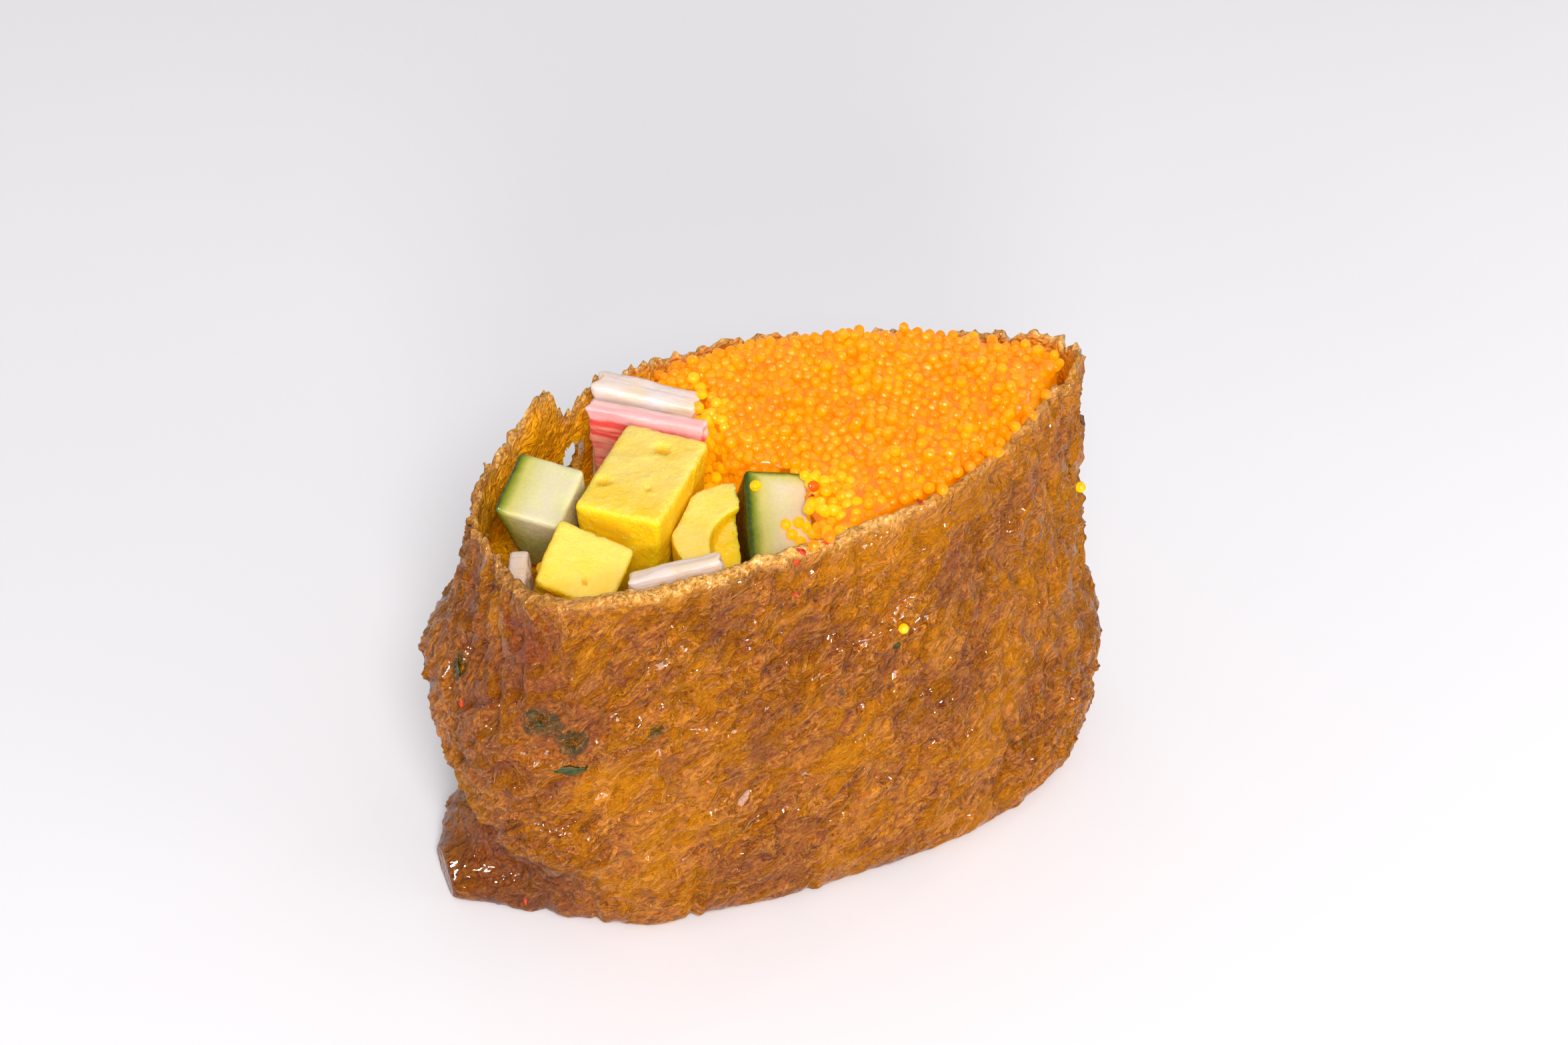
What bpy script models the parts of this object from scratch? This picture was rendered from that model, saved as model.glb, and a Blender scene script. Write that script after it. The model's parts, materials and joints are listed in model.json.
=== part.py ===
"""Open inari sushi: a seasoned fried tofu pouch, packed to the brim with flying fish roe at one end
and with diced rolled omelette, cucumber and crab stick at the other.

Constants are in millimetres and the scene is in metres. The pouch stands on z = 0 with its long axis
along X, and the diced toppings lie at its -X end. A place round the pouch is told as a turn: 0 is the
-X end, 0.25 the front (-Y), 0.5 the +X end and 0.75 the back.
"""

import math
from collections import namedtuple

import bmesh
import bpy
import numpy as np
from mathutils import Euler, Matrix, Vector, noise

MM = 0.001

# ---- the fried pouch ----------------------------------------------------------------------------

# One level outline: its reach each way, how square its four corners are (2 is an ellipse), and how
# far its pointed +X end is swung towards +Y.
Outline = namedtuple("Outline", "left right front back sq_fl sq_fr sq_br sq_bl swing")
FOOT = Outline(36.0, 35.3, 20.8, 18.8, 2.7, 2.25, 2.2, 1.85, -1.4)
MOUTH = Outline(31.0, 35.5, 18.6, 17.6, 5.8, 1.5, 1.9, 1.6, 3.6)
BROADEST_X = -8.0

RIM_Z = 45.2
WALL = 1.5
FOOT_ROUND = 2.6
FLOOR_Z = 32.5              # the packed fill under the toppings

# A swell of the skin: the height of its middle, its spread up and down, and how far it stands out.
Swell = namedtuple("Swell", "height spread reach")
BELLY = Swell(23.5, 5.5, 2.6)      # at the -X end
HEEL = Swell(12.5, 5.5, 2.5)       # at the +X end

# The cut edge rises and dips round the pouch: the turn it is at, its spread, and its rise.
Wave = namedtuple("Wave", "turn spread rise")
RIM_WAVES = (
    Wave(0.0, 0.05, -2.8),         # the low -X end
    Wave(0.28, 0.05, 0.6),
    Wave(0.45, 0.05, 2.2),         # the raised +X end
    Wave(0.60, 0.04, -0.8),
    Wave(0.68, 0.03, 0.6),
    Wave(0.77, 0.04, -0.8),
    Wave(0.831, 0.011, -4.8),      # the tear beside the flap
    Wave(0.856, 0.018, 3.3),       # the torn flap
    Wave(0.905, 0.025, -1.0),
)
RIM_ROUND = 0.45

# The skin folds over itself round the -X end: a lip that runs at one height and then slants down the
# front, with a hollow under it. The lip's and the hollow's heights are told from the fold's own line.
FOLD_HIGH, FOLD_LOW = 24.5, 11.0
FOLD_SLANT = (-0.01, 0.09)
FOLD_SPAN = (-0.12, 0.18)
FOLD_FADE = 0.05
FOLD_LIP = Swell(1.5, 2.2, 0.8)
FOLD_HOLLOW = Swell(-6.5, 3.2, -2.3)

# The pointed corner that the folded skin leaves on the ground, told by its turn and its spread in turns.
EAR = Swell(1.0, 3.0, 2.1)
EAR_TURN, EAR_SPREAD = 0.035, 0.022

DENTS = ((0.55, 9.0), (0.35, 4.2))  # unevenness all over the skin: height and size
TEAR = Vector((-16.6, 14.6, 35.8))  # a hole torn in the back wall
TEAR_SIZE = Vector((3.2, 6.0, 4.6))
TEAR_TURNS = (0, 12, 34)
TEAR_SIDES = 9

OUTLINE_SAMPLES = 240       # fine points along a quarter of the outline, from which equal steps are read
QUARTER_STEPS = 21
WALL_STEPS = 21
LINING_STEPS = 7
FOOT_STEPS = 3

# ---- what fills it ------------------------------------------------------------------------------

GAP = 0.35                  # clearance between neighbouring pieces

HEAP_TURNS = (0.30, 0.745)          # where the heap meets the front wall and the back wall
HEAP_FACE = ((-7.2, 11.5), (-4.9, 6.5), (-4.2, 2.0), (-3.4, -1.5), (0.4, -3.0), (0.6, -8.0), (1.4, -13.0))
HEAP_CENTRE = Vector((13.0, 2.0))
HEAP_Z = 45.6
Mound = namedtuple("Mound", "x y spread_x spread_y rise")
HEAP_MOUNDS = (
    Mound(7.0, 13.0, 12.0, 6.0, 1.7),   # the crown at the back
    Mound(-7.5, 15.0, 3.0, 4.0, -2.0),  # the low corner behind the crab stick
    Mound(0.0, -9.0, 3.0, 5.5, -1.8),   # the slope down over the cucumber
)
HEAP_EDGE_ROUND = 1.2       # the sides end this far below the top, which starts this far in, by these shares
HEAP_EDGE_IN, HEAP_EDGE_DROP = 0.4, 0.35
HEAP_DENT, HEAP_DENT_SIZE = 0.4, 5.0
HEAP_ARC_STEPS, HEAP_FACE_STEPS = 40, 14
HEAP_LEVELS = 4
HEAP_RINGS = (0.93, 0.78, 0.6, 0.4, 0.2)
ROLL_SIDES = 36
HARD_ANGLE = math.radians(50)
BEVEL_STEPS = 2

# A diced topping hangs from the middle of its top face down to the fill: place of that middle, width
# and depth of the face, turns about X, Y and Z in degrees, rounding of its edges, and its colour.
Dice = namedtuple("Dice", "place width depth turns rounding colour")
DICE_TAPER = 0.8            # a dice narrows to this share of its width at the bottom
EGG, CUCUMBER, CRAB_RED, CRAB_WHITE = "omelette", "cucumber", "crab_red", "crab_white"
DICE = {
    "omelette_long": Dice((-13.8, -0.9, 45.3), 9.2, 14.5, (-1, -1, -39), 0.6, EGG),
    "omelette_short": Dice((-22.9, -11.2, 43.9), 8.0, 7.4, (24, 18, -32), 0.6, EGG),
    "cucumber_left": Dice((-24.5, -0.7, 45.6), 7.1, 7.0, (23, 1, -41), 0.4, CUCUMBER),
    "cucumber_right": Dice((-1.8, -8.2, 42.2), 6.8, 10.0, (30, 12, -7), 0.4, CUCUMBER),
    "crab_stick": Dice((-10.7, 7.5, 45.8), 13.0, 1.8, (3, 0, -35), 0.4, CRAB_RED),
    "crab_slab": Dice((-9.5, 10.8, 46.2), 11.2, 3.2, (0, 6, -30), 0.4, CRAB_WHITE),
    "crab_strip_front": Dice((-14.9, -14.4, 44.3), 9.7, 2.2, (-8, -8, -7), 0.5, CRAB_WHITE),
    "crab_strip_left": Dice((-28.2, -5.6, 40.3), 2.2, 5.2, (9, -6, -21), 0.5, CRAB_WHITE),
}
# The curled end of the rolled omelette: an upright roll, hollow on the inside, cut by its neighbours.
CURL_PLACE, CURL_RADIUS = Vector((-6.7, -8.8, 42.3)), 6.4
HOLLOW_PLACE, HOLLOW_RADIUS = Vector((-4.4, -10.6, 40.2)), 5.0
CURL_TURNS = (8, -6, 0)
HOLLOW_TURNS = (16, -16, 0)
CURL_LIFT, HOLLOW_HEIGHT = 1.0, 12.0

CURL_STOP, CURL_PAST_END = "cucumber_right", Vector((12.0, 24.0, 30.0))  # the curl ends at this dice

# The dice whose room is cut out of the roe and out of the curl.
HEAP_NEIGHBOURS = ("cucumber_right", "crab_stick", "crab_slab")
CURL_NEIGHBOURS = ("crab_strip_front", "omelette_long")


def mix(low, high, share):
    return low + (high - low) * share


def bell(distance, spread):
    return math.exp(-0.5 * (distance / spread) ** 2)


def ramp(value, start, end):
    """0 before start, 1 after end, and a smooth climb between."""
    share = min(1.0, max(0.0, (value - start) / (end - start)))
    return share * share * (3.0 - 2.0 * share)


def from_end(turn):
    """The turn counted from the -X end, between -0.5 and 0.5."""
    return (turn + 0.5) % 1.0 - 0.5


def swell_at(swell, height):
    return swell.reach * bell(height - swell.height, swell.spread)


# ---- pouch form ---------------------------------------------------------------------------------


def outline_at(z):
    level = Outline(*(mix(low, high, z / RIM_Z) for low, high in zip(FOOT, MOUTH)))
    return level._replace(left=level.left + swell_at(BELLY, z), right=level.right + swell_at(HEEL, z))


def quarter_line(reach_x, reach_y, square, swing, reverse):
    """A quarter of the outline, as points at equal steps along it, without its last point."""
    angle = np.linspace(0.0, math.pi / 2, OUTLINE_SAMPLES)
    run_x, run_y = np.cos(angle) ** (2.0 / square), np.sin(angle) ** (2.0 / square)
    line = np.column_stack((BROADEST_X + reach_x * run_x, reach_y * run_y + swing * run_x**2))
    if reverse:
        line = line[::-1]
    gone = np.concatenate(([0.0], np.cumsum(np.hypot(*np.diff(line, axis=0).T))))
    stops = np.linspace(0.0, gone[-1], QUARTER_STEPS + 1)[:-1]
    return np.column_stack((np.interp(stops, gone, line[:, 0]), np.interp(stops, gone, line[:, 1])))


def section_at(z):
    """The pouch's outline at one height, counter-clockwise from the -X end, and its outward normals."""
    form = outline_at(z)
    to_left, to_right = -form.left - BROADEST_X, form.right - BROADEST_X
    points = np.vstack((
        quarter_line(to_left, -form.front, form.sq_fl, 0.0, False),
        quarter_line(to_right, -form.front, form.sq_fr, form.swing, True),
        quarter_line(to_right, form.back, form.sq_br, form.swing, False),
        quarter_line(to_left, form.back, form.sq_bl, 0.0, True),
    ))
    along = np.roll(points, -1, axis=0) - np.roll(points, 1, axis=0)
    along /= np.linalg.norm(along, axis=1)[:, None]
    return points, np.column_stack((along[:, 1], -along[:, 0]))


COLUMNS = 4 * QUARTER_STEPS


def rim_at(column):
    turn = column / COLUMNS
    return RIM_Z + sum(wave.rise * bell(from_end(turn - wave.turn), wave.spread) for wave in RIM_WAVES)


def fold_at(column, z):
    """How far the folded skin stands out, or sinks in, at a column and height."""
    turn = from_end(column / COLUMNS)
    start, end = FOLD_SPAN
    strength = ramp(turn, start, start + FOLD_FADE) * (1.0 - ramp(turn, end - FOLD_FADE, end))
    above = z - mix(FOLD_HIGH, FOLD_LOW, ramp(turn, *FOLD_SLANT))
    return strength * (swell_at(FOLD_LIP, above) + swell_at(FOLD_HOLLOW, above))


def ear_at(column, z):
    return swell_at(EAR, z) * bell(from_end(column / COLUMNS - EAR_TURN), EAR_SPREAD)


def skin_point(column, z, sunk):
    """A point of the pouch's wall, this far inside its outer skin."""
    points, normals = section_at(z)
    place, out = points[column], normals[column]
    dents = sum(depth * noise.noise(Vector((*place, z)) / size) for depth, size in DENTS)
    relief = dents + fold_at(column, z) + ear_at(column, z)
    rounding = FOOT_ROUND - math.sqrt(FOOT_ROUND**2 - max(0.0, FOOT_ROUND - z) ** 2)
    return Vector((*(place + out * (relief - rounding - sunk)), z))


def wall_columns(heights_of, sunk):
    """Rings of wall points. heights_of gives one column's heights, bottom to top."""
    by_column = [[skin_point(column, z, sunk) for z in heights_of(column)] for column in range(COLUMNS)]
    return [list(ring) for ring in zip(*by_column)]


def pouch_rings():
    """Every ring of the pouch's surface, from its sole, up the outside, and down to the inner floor."""
    def foot(_):
        return [FOOT_ROUND * (1.0 - math.cos(math.pi / 2 * step / FOOT_STEPS)) for step in range(FOOT_STEPS)]

    def outside(column):
        return np.linspace(FOOT_ROUND, rim_at(column) - RIM_ROUND, WALL_STEPS + 1)

    def crest(column):
        return [rim_at(column)]

    def inside(column):
        return np.linspace(rim_at(column) - RIM_ROUND, FLOOR_Z, LINING_STEPS + 1)

    return (wall_columns(foot, 0.0) + wall_columns(outside, 0.0)
            + wall_columns(crest, WALL / 2) + wall_columns(inside, WALL))


# ---- meshes -------------------------------------------------------------------------------------


def lofted(name, rings):
    """A closed mesh through the rings, with a fan from each end ring to its middle."""
    mesh = bmesh.new()
    loops = [[mesh.verts.new(point * MM) for point in ring] for ring in rings]
    for low, high in zip(loops, loops[1:]):
        for here in range(len(low)):
            there = (here + 1) % len(low)
            mesh.faces.new((low[here], low[there], high[there], high[here]))
    for loop, inward in ((loops[0], True), (loops[-1], False)):
        middle = mesh.verts.new(sum((vert.co for vert in loop), Vector()) / len(loop))
        for here in range(len(loop)):
            edge = (loop[here], loop[(here + 1) % len(loop)])
            mesh.faces.new((*(reversed(edge) if inward else edge), middle))
    data = bpy.data.meshes.new(name)
    mesh.to_mesh(data)
    mesh.free()
    data.shade_smooth()
    return data


def smooth_mesh(name, mesh):
    """The bmesh as mesh data, smooth but for its hard edges."""
    data = bpy.data.meshes.new(name)
    mesh.to_mesh(data)
    mesh.free()
    data.shade_smooth()
    data.set_sharp_from_angle(angle=HARD_ANGLE)
    return data


def block(name, size, taper, rounding=0.0):
    """A box that hangs below the origin, with its top face's middle there. It narrows to the share
    taper at its foot."""
    mesh = bmesh.new()
    bmesh.ops.create_cube(mesh, size=1.0)
    bmesh.ops.translate(mesh, vec=(0.0, 0.0, -0.5), verts=mesh.verts)
    low = [vert for vert in mesh.verts if vert.co.z < -0.5]
    bmesh.ops.scale(mesh, vec=(taper, taper, 1.0), verts=low)
    bmesh.ops.scale(mesh, vec=Vector(size) * MM, verts=mesh.verts)
    if rounding:
        bmesh.ops.bevel(mesh, geom=mesh.edges, offset=rounding * MM, segments=BEVEL_STEPS, profile=0.5,
                        affect="EDGES")
    return smooth_mesh(name, mesh)


def roll(name, radius, height):
    """An upright cylinder that hangs below the origin."""
    mesh = bmesh.new()
    bmesh.ops.create_cone(mesh, cap_ends=True, segments=ROLL_SIDES, radius1=radius * MM, radius2=radius * MM,
                          depth=height * MM)
    bmesh.ops.translate(mesh, vec=(0.0, 0.0, -height * MM / 2), verts=mesh.verts)
    return smooth_mesh(name, mesh)


def material(name, colour, roughness):
    look = bpy.data.materials.new(name)
    look.use_nodes = True
    shader = look.node_tree.nodes["Principled BSDF"]
    shader.inputs["Base Color"].default_value = (*colour, 1.0)
    shader.inputs["Roughness"].default_value = roughness
    return look


def materials():
    return {
        "fried_tofu": material("fried_tofu", (0.45, 0.13, 0.01), 0.35),
        "roe": material("roe", (0.95, 0.30, 0.01), 0.25),
        EGG: material(EGG, (0.95, 0.70, 0.15), 0.5),
        CUCUMBER: material(CUCUMBER, (0.72, 0.78, 0.48), 0.4),
        CRAB_RED: material(CRAB_RED, (0.80, 0.13, 0.10), 0.45),
        CRAB_WHITE: material(CRAB_WHITE, (0.88, 0.82, 0.76), 0.45),
    }


def add(collection, name, data, look, root):
    piece = bpy.data.objects.new(name, data)
    collection.objects.link(piece)
    data.materials.append(look)
    piece.parent = root
    return piece


def cut(piece, cutter, label):
    boolean = piece.modifiers.new(label, "BOOLEAN")
    boolean.operation = "DIFFERENCE"
    boolean.object = cutter


def add_cutter(collection, name, data, root):
    cutter = bpy.data.objects.new(name, data)
    collection.objects.link(cutter)
    cutter.parent = root
    cutter.hide_render = True
    cutter.display_type = "WIRE"
    return cutter


def centre_on_origin(root, widest):
    """Moves everything so that the origin is the middle of the footprint of the widest piece."""
    places = np.array([vert.co[:] for vert in widest.data.vertices])
    middle = (places.min(axis=0) + places.max(axis=0)) / 2
    root.location = (-middle[0], -middle[1], 0.0)


# ---- pieces -------------------------------------------------------------------------------------


def tear_cutter(collection, root):
    """An uneven plug through the wall, whose cut leaves the torn hole."""
    mesh = bmesh.new()
    bmesh.ops.create_cone(mesh, cap_ends=True, segments=TEAR_SIDES, radius1=0.5, radius2=0.5, depth=1.0)
    bmesh.ops.rotate(mesh, matrix=Matrix.Rotation(math.pi / 2, 3, "X"), verts=mesh.verts)
    bmesh.ops.scale(mesh, vec=TEAR_SIZE * MM, verts=mesh.verts)
    return lay(add_cutter(collection, "tear", smooth_mesh("tear", mesh), root), TEAR, TEAR_TURNS)


def heap_height(x, y):
    mounds = sum(m.rise * bell(x - m.x, m.spread_x) * bell(y - m.y, m.spread_y) for m in HEAP_MOUNDS)
    return HEAP_Z + mounds + HEAP_DENT * noise.noise(Vector((x, y, 0.0)) / HEAP_DENT_SIZE)


def heap_rings():
    """Rings of the roe heap: up its sides, over its rounded edge, and in across its top."""
    start, end = (turn * COLUMNS for turn in HEAP_TURNS)
    arc = np.linspace(start, end, HEAP_ARC_STEPS)
    face = np.array(HEAP_FACE)
    reach = np.linspace(0.0, len(face) - 1.0, HEAP_FACE_STEPS)
    face_line = np.column_stack([np.interp(reach, range(len(face)), face[:, axis]) for axis in (0, 1)])

    def ring(z, drawn_in):
        walls = []
        for column in arc:
            low, share = int(column) % COLUMNS, column % 1.0
            near, far = (skin_point(place % COLUMNS, z, WALL + GAP + drawn_in) for place in (low, low + 1))
            walls.append(near.lerp(far, share))
        face_points = [Vector((x + drawn_in, y, z)) for x, y in face_line]
        return walls + face_points

    sides = [ring(z, 0.0) for z in np.linspace(FLOOR_Z + GAP, HEAP_Z - HEAP_EDGE_ROUND, HEAP_LEVELS)]
    edge = ring(HEAP_Z, HEAP_EDGE_ROUND * HEAP_EDGE_IN)
    centre = HEAP_CENTRE.to_3d()
    tops = []
    for share in (1.0, *HEAP_RINGS):
        flat = [centre + (Vector((p.x, p.y, 0.0)) - centre) * share for p in edge]
        drop = HEAP_EDGE_ROUND * HEAP_EDGE_DROP if share == 1.0 else 0.0
        tops.append([Vector((p.x, p.y, heap_height(p.x, p.y) - drop)) for p in flat])
    return sides + tops


def radians_of(turns):
    return [math.radians(angle) for angle in turns]


def dice_size(dice):
    """Width, depth and the height that brings the lowest corner down to the fill."""
    turned = Euler(radians_of(dice.turns)).to_matrix()
    half_width, half_depth = dice.width / 2, dice.depth / 2
    corners = [Vector((x, y, 0)) for x in (-half_width, half_width) for y in (-half_depth, half_depth)]
    lowest = dice.place[2] + min((turned @ corner).z for corner in corners)
    return Vector((dice.width, dice.depth, (lowest - FLOOR_Z - GAP) / turned[2][2]))


def lay(piece, place, turns):
    piece.location = Vector(place) * MM
    piece.rotation_euler = radians_of(turns)
    return piece


def add_dice(collection, looks, root):
    for name, dice in DICE.items():
        data = block(name, dice_size(dice), DICE_TAPER, dice.rounding)
        lay(add(collection, name, data, looks[dice.colour], root), dice.place, dice.turns)


def room_for(collection, name, root):
    """A cutter as large as one dice and the gap round it."""
    dice = DICE[name]
    grown = dice_size(dice) + Vector((2 * GAP, 2 * GAP, 2 * GAP))
    cutter = add_cutter(collection, "room_" + name, block("room_" + name, grown, DICE_TAPER), root)
    up = Euler(radians_of(dice.turns)).to_matrix() @ Vector((0.0, 0.0, GAP))
    return lay(cutter, Vector(dice.place) + up, dice.turns)


def add_egg_curl(parts, cutters, looks, root):
    height = CURL_PLACE.z - FLOOR_Z - GAP - CURL_LIFT
    curl = add(parts, "omelette_end", roll("omelette_end", CURL_RADIUS, height), looks[EGG], root)
    lay(curl, CURL_PLACE, CURL_TURNS)
    hollow = add_cutter(cutters, "curl_hollow", roll("curl_hollow", HOLLOW_RADIUS, HOLLOW_HEIGHT), root)
    up = Euler(radians_of(HOLLOW_TURNS)).to_matrix() @ Vector((0.0, 0.0, HOLLOW_HEIGHT))
    lay(hollow, HOLLOW_PLACE + up, HOLLOW_TURNS)
    cut(curl, hollow, "hollow")
    past = add_cutter(cutters, "curl_past_end", block("curl_past_end", CURL_PAST_END, 1.0), root)
    stop = DICE[CURL_STOP]
    turned = Euler(radians_of(stop.turns)).to_matrix()
    middle = turned @ Vector(((CURL_PAST_END.x - stop.width) / 2 - GAP, 0.0, CURL_PAST_END.z / 2))
    lay(past, Vector(stop.place) + middle, stop.turns)
    cut(curl, past, "past_end")
    return curl


def build():
    for thing in list(bpy.data.objects):
        bpy.data.objects.remove(thing)
    parts = bpy.data.collections.new("inari_sushi")
    cutters = bpy.data.collections.new("cutters")
    for collection in (parts, cutters):
        bpy.context.scene.collection.children.link(collection)
    root = bpy.data.objects.new("inari", None)
    parts.objects.link(root)
    looks = materials()
    pouch = add(parts, "pouch", lofted("pouch", pouch_rings()), looks["fried_tofu"], root)
    cut(pouch, tear_cutter(cutters, root), "tear")
    heap = add(parts, "roe", lofted("roe", heap_rings()), looks["roe"], root)
    add_dice(parts, looks, root)
    curl = add_egg_curl(parts, cutters, looks, root)
    for piece, neighbours in ((heap, HEAP_NEIGHBOURS), (curl, CURL_NEIGHBOURS)):
        for name in neighbours:
            cut(piece, room_for(cutters, name, root), piece.name + "_" + name)
    centre_on_origin(root, pouch)


build()
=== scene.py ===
"""Open inari sushi: a glossy fried tofu pouch with a torn rim, filled with fish roe and diced toppings.

Sizes in this file are in millimetres unless a comment or a property says otherwise. The scene is in metres.
"""

import json
import math
from types import SimpleNamespace

import bmesh
import bpy
import numpy as np
from mathutils import Matrix, Vector, kdtree, noise
from mathutils.bvhtree import BVHTree

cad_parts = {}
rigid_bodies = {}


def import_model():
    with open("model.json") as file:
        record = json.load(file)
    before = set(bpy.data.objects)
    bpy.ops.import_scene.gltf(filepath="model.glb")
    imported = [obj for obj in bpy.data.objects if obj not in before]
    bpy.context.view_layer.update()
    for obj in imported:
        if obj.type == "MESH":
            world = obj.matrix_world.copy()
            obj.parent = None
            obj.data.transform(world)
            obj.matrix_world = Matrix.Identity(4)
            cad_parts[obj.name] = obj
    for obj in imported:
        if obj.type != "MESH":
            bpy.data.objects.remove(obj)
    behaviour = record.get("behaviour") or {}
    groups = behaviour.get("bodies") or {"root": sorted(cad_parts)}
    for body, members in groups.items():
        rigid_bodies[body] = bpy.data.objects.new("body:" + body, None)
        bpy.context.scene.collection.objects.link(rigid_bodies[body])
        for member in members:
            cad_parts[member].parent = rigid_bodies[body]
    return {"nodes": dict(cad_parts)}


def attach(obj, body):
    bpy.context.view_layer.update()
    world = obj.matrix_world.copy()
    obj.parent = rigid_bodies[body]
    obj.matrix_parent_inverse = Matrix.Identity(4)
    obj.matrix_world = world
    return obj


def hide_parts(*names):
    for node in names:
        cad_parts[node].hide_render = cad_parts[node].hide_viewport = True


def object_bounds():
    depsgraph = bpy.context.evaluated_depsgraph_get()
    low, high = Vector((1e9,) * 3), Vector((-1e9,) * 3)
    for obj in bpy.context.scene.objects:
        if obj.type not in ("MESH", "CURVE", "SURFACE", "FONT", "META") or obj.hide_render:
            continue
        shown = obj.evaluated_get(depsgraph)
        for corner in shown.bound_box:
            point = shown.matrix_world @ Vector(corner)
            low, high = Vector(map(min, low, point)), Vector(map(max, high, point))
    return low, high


bl_info = {
    "name": "Open Inari Sushi",
    "version": (1, 0, 0),
    "blender": (4, 5, 0),
    "location": "View3D > Sidebar > Inari",
    "description": "Dresses the solid inari sushi with its wrinkled skin, toppings and roe",
    "category": "Object",
}

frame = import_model()
CAD_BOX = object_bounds()
MM = 0.001
BODY = "root"

# ---- the pouch ----------------------------------------------------------------------------------

# A turn is a share of the way round the pouch, counted from its -X end and along the front first.
COLUMNS = 524               # round the pouch
FOOT_ROWS, WALL_ROWS, CUFF_ROWS = 8, 84, 34   # the rounded foot, up to the fill, and from there to the rim
LOW_ROWS = FOOT_ROWS + WALL_ROWS
RIM_ROWS = 5
SOLE_RINGS, FLOOR_RINGS = 6, 5
RING_LEAST = 0.05           # the innermost ring of the sole and of the floor, as a share of the outline
OUTLINE_Z = 25.0            # the height at which the pouch's outline is taken
OUTLINE_RAYS = 720
FAR_OUT = 100.0             # from where the outline is felt for
FILL_SPOT = (10.0, 0.0, 34.0)   # over the pouch's inner floor
FOOT_ROUND = 2.6
SLANT = 34.0                # degrees from level of the wrinkles on the front
UPRIGHT_SLANT, FOOT_SLANT = 84.0, 8.0   # the same at the +X end and high at the -X end, and near the foot
STAND_OFF = 12.0            # how far outside the outline the skin is felt for
FEEL_DEPTH = 6.0
RIM_SEARCH = (39.0, 49.0)
RIM_SEARCH_STEPS = 9
RIM_DROP = 0.35             # the rounded cut edge rises this much above the skin's top row
SEAM_TURN, SEAM_WIDTH = 0.30, 14.0
WALL_THICKNESS = 1.55
RIM_THICKNESS = (1.55, 0.75)    # at the near cut edge, and where it is torn or the eggs spill over it
RAGGED = (0.30, 0.90)       # how much the rim's height wanders at the near cut edge, and where it is torn
CRUMBS, CRUMB_SIZE = (0.42, 0.57), 0.9  # height of the cut edge's crumbs at those two, and their width
SPILL_TURN = 0.39           # the middle of the stretch where the eggs spill over the near edge
SPILL_DROP = 0.5            # how much lower the rim is there
# Painted light: the rim that the eggs shine through is coloured golden.
PAINTED_EGG_LIGHT_TURN, PAINTED_EGG_LIGHT_WIDTH, PAINTED_EGG_LIGHT_DEPTH = 0.41, 0.08, 3.5   # the rim that the eggs shine through
FLAP_TURN, FLAP_WIDTH, FLAP_RISE = -0.145, 0.016, 1.6       # the torn flap that stands up behind the -X end
# The toe that stands out below the wet hollow, and the tuck beside it: turn, width, reach, and the heights
# between which they end.
TOE = (0.035, 0.030, 2.6, 1.0, 7.0)
TUCK = (-0.045, 0.050, -2.0, 12.0, 17.0)
# The lower edge of the skin that folds over itself round the -X end: turns from that end, and heights.
FOLD_EDGE = ((-0.10, 25.5), (-0.02, 25.0), (0.01, 22.5), (0.035, 18.5), (0.05, 15.5), (0.07, 13.5),
             (0.09, 12.0), (0.12, 10.2), (0.16, 8.5))
# Long creases in the front: how far round from the -X end, slope, top and bottom height, width and depth.
CREASES = (
    (10.2, 0.18, 44.5, 25.0, 1.2, 1.1), (6.0, 0.12, 43.0, 27.0, 1.0, 0.8),
    (2.5, 0.20, 42.0, 27.0, 0.9, 0.6), (21.5, 0.02, 44.0, 24.0, 0.6, 0.5),
    (25.5, 0.10, 43.0, 30.0, 0.5, 0.4), (31.0, 0.22, 42.0, 26.0, 0.7, 0.5),
    (17.0, -0.06, 43.0, 30.0, 0.6, 0.4), (40.0, 0.30, 38.0, 24.0, 0.6, 0.4),
    (33.0, 0.05, 10.0, -6.0, 0.5, 0.7), (22.0, 0.05, 9.0, -6.0, 0.5, 0.6),
    (47.0, 0.0, 7.0, -6.0, 0.6, 0.5),
)
# Marks on the skin: middle, radius, and strength. Stains are dark and red; the two broadest, at the -X end,
# are painted shade over that end. A golden mark is painted light: the eggs shining through the skin near the
# rim, and the first, broad one a pool of light over the +X end. A net shows dark holes between its fibres,
# painted shade where no hole is cut.
STAINS_AND_END_SHADE = (((-30.5, -14.1, 39.4), 3.2, 1.0), ((-30.0, -15.5, 35.0), 2.2, 0.5), ((31.0, -4.0, 41.0), 3.5, 0.7),
          ((26.5, -8.5, 40.0), 2.5, 0.8), ((-34.0, -8.7, 8.0), 4.0, 0.5), ((-31.0, -12.0, 31.0), 10.0, 0.35),
          ((-36.0, -3.0, 33.0), 8.0, 0.30))
PAINTED_LIGHT_MARKS = (((34.0, -11.0, 30.0), 15.0, 0.55), ((2.0, -16.5, 44.0), 3.5, 0.5), ((7.0, -15.5, 43.8), 4.0, 0.8),
          ((13.0, -13.0, 44.5), 4.5, 0.9), ((20.0, -10.0, 45.0), 4.5, 0.8), ((27.0, -6.0, 45.5), 4.0, 0.7),
          ((33.0, 0.0, 45.0), 4.5, 0.8))
NETS = (((-29.5, -16.4, 30.4), 2.2, 1.0), ((-27.0, -17.4, 28.0), 1.8, 0.9), ((-35.4, -4.0, 29.2), 1.8, 0.9),
        ((-18.7, -18.5, 27.8), 1.1, 0.8), ((-33.8, -8.0, 12.0), 1.6, 0.6), ((1.0, -17.5, 27.0), 1.0, 0.5))

SEED = 11
DOWN = (0.0, 0.0, -1.0)


# ---- numbers and noise --------------------------------------------------------------------------


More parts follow.
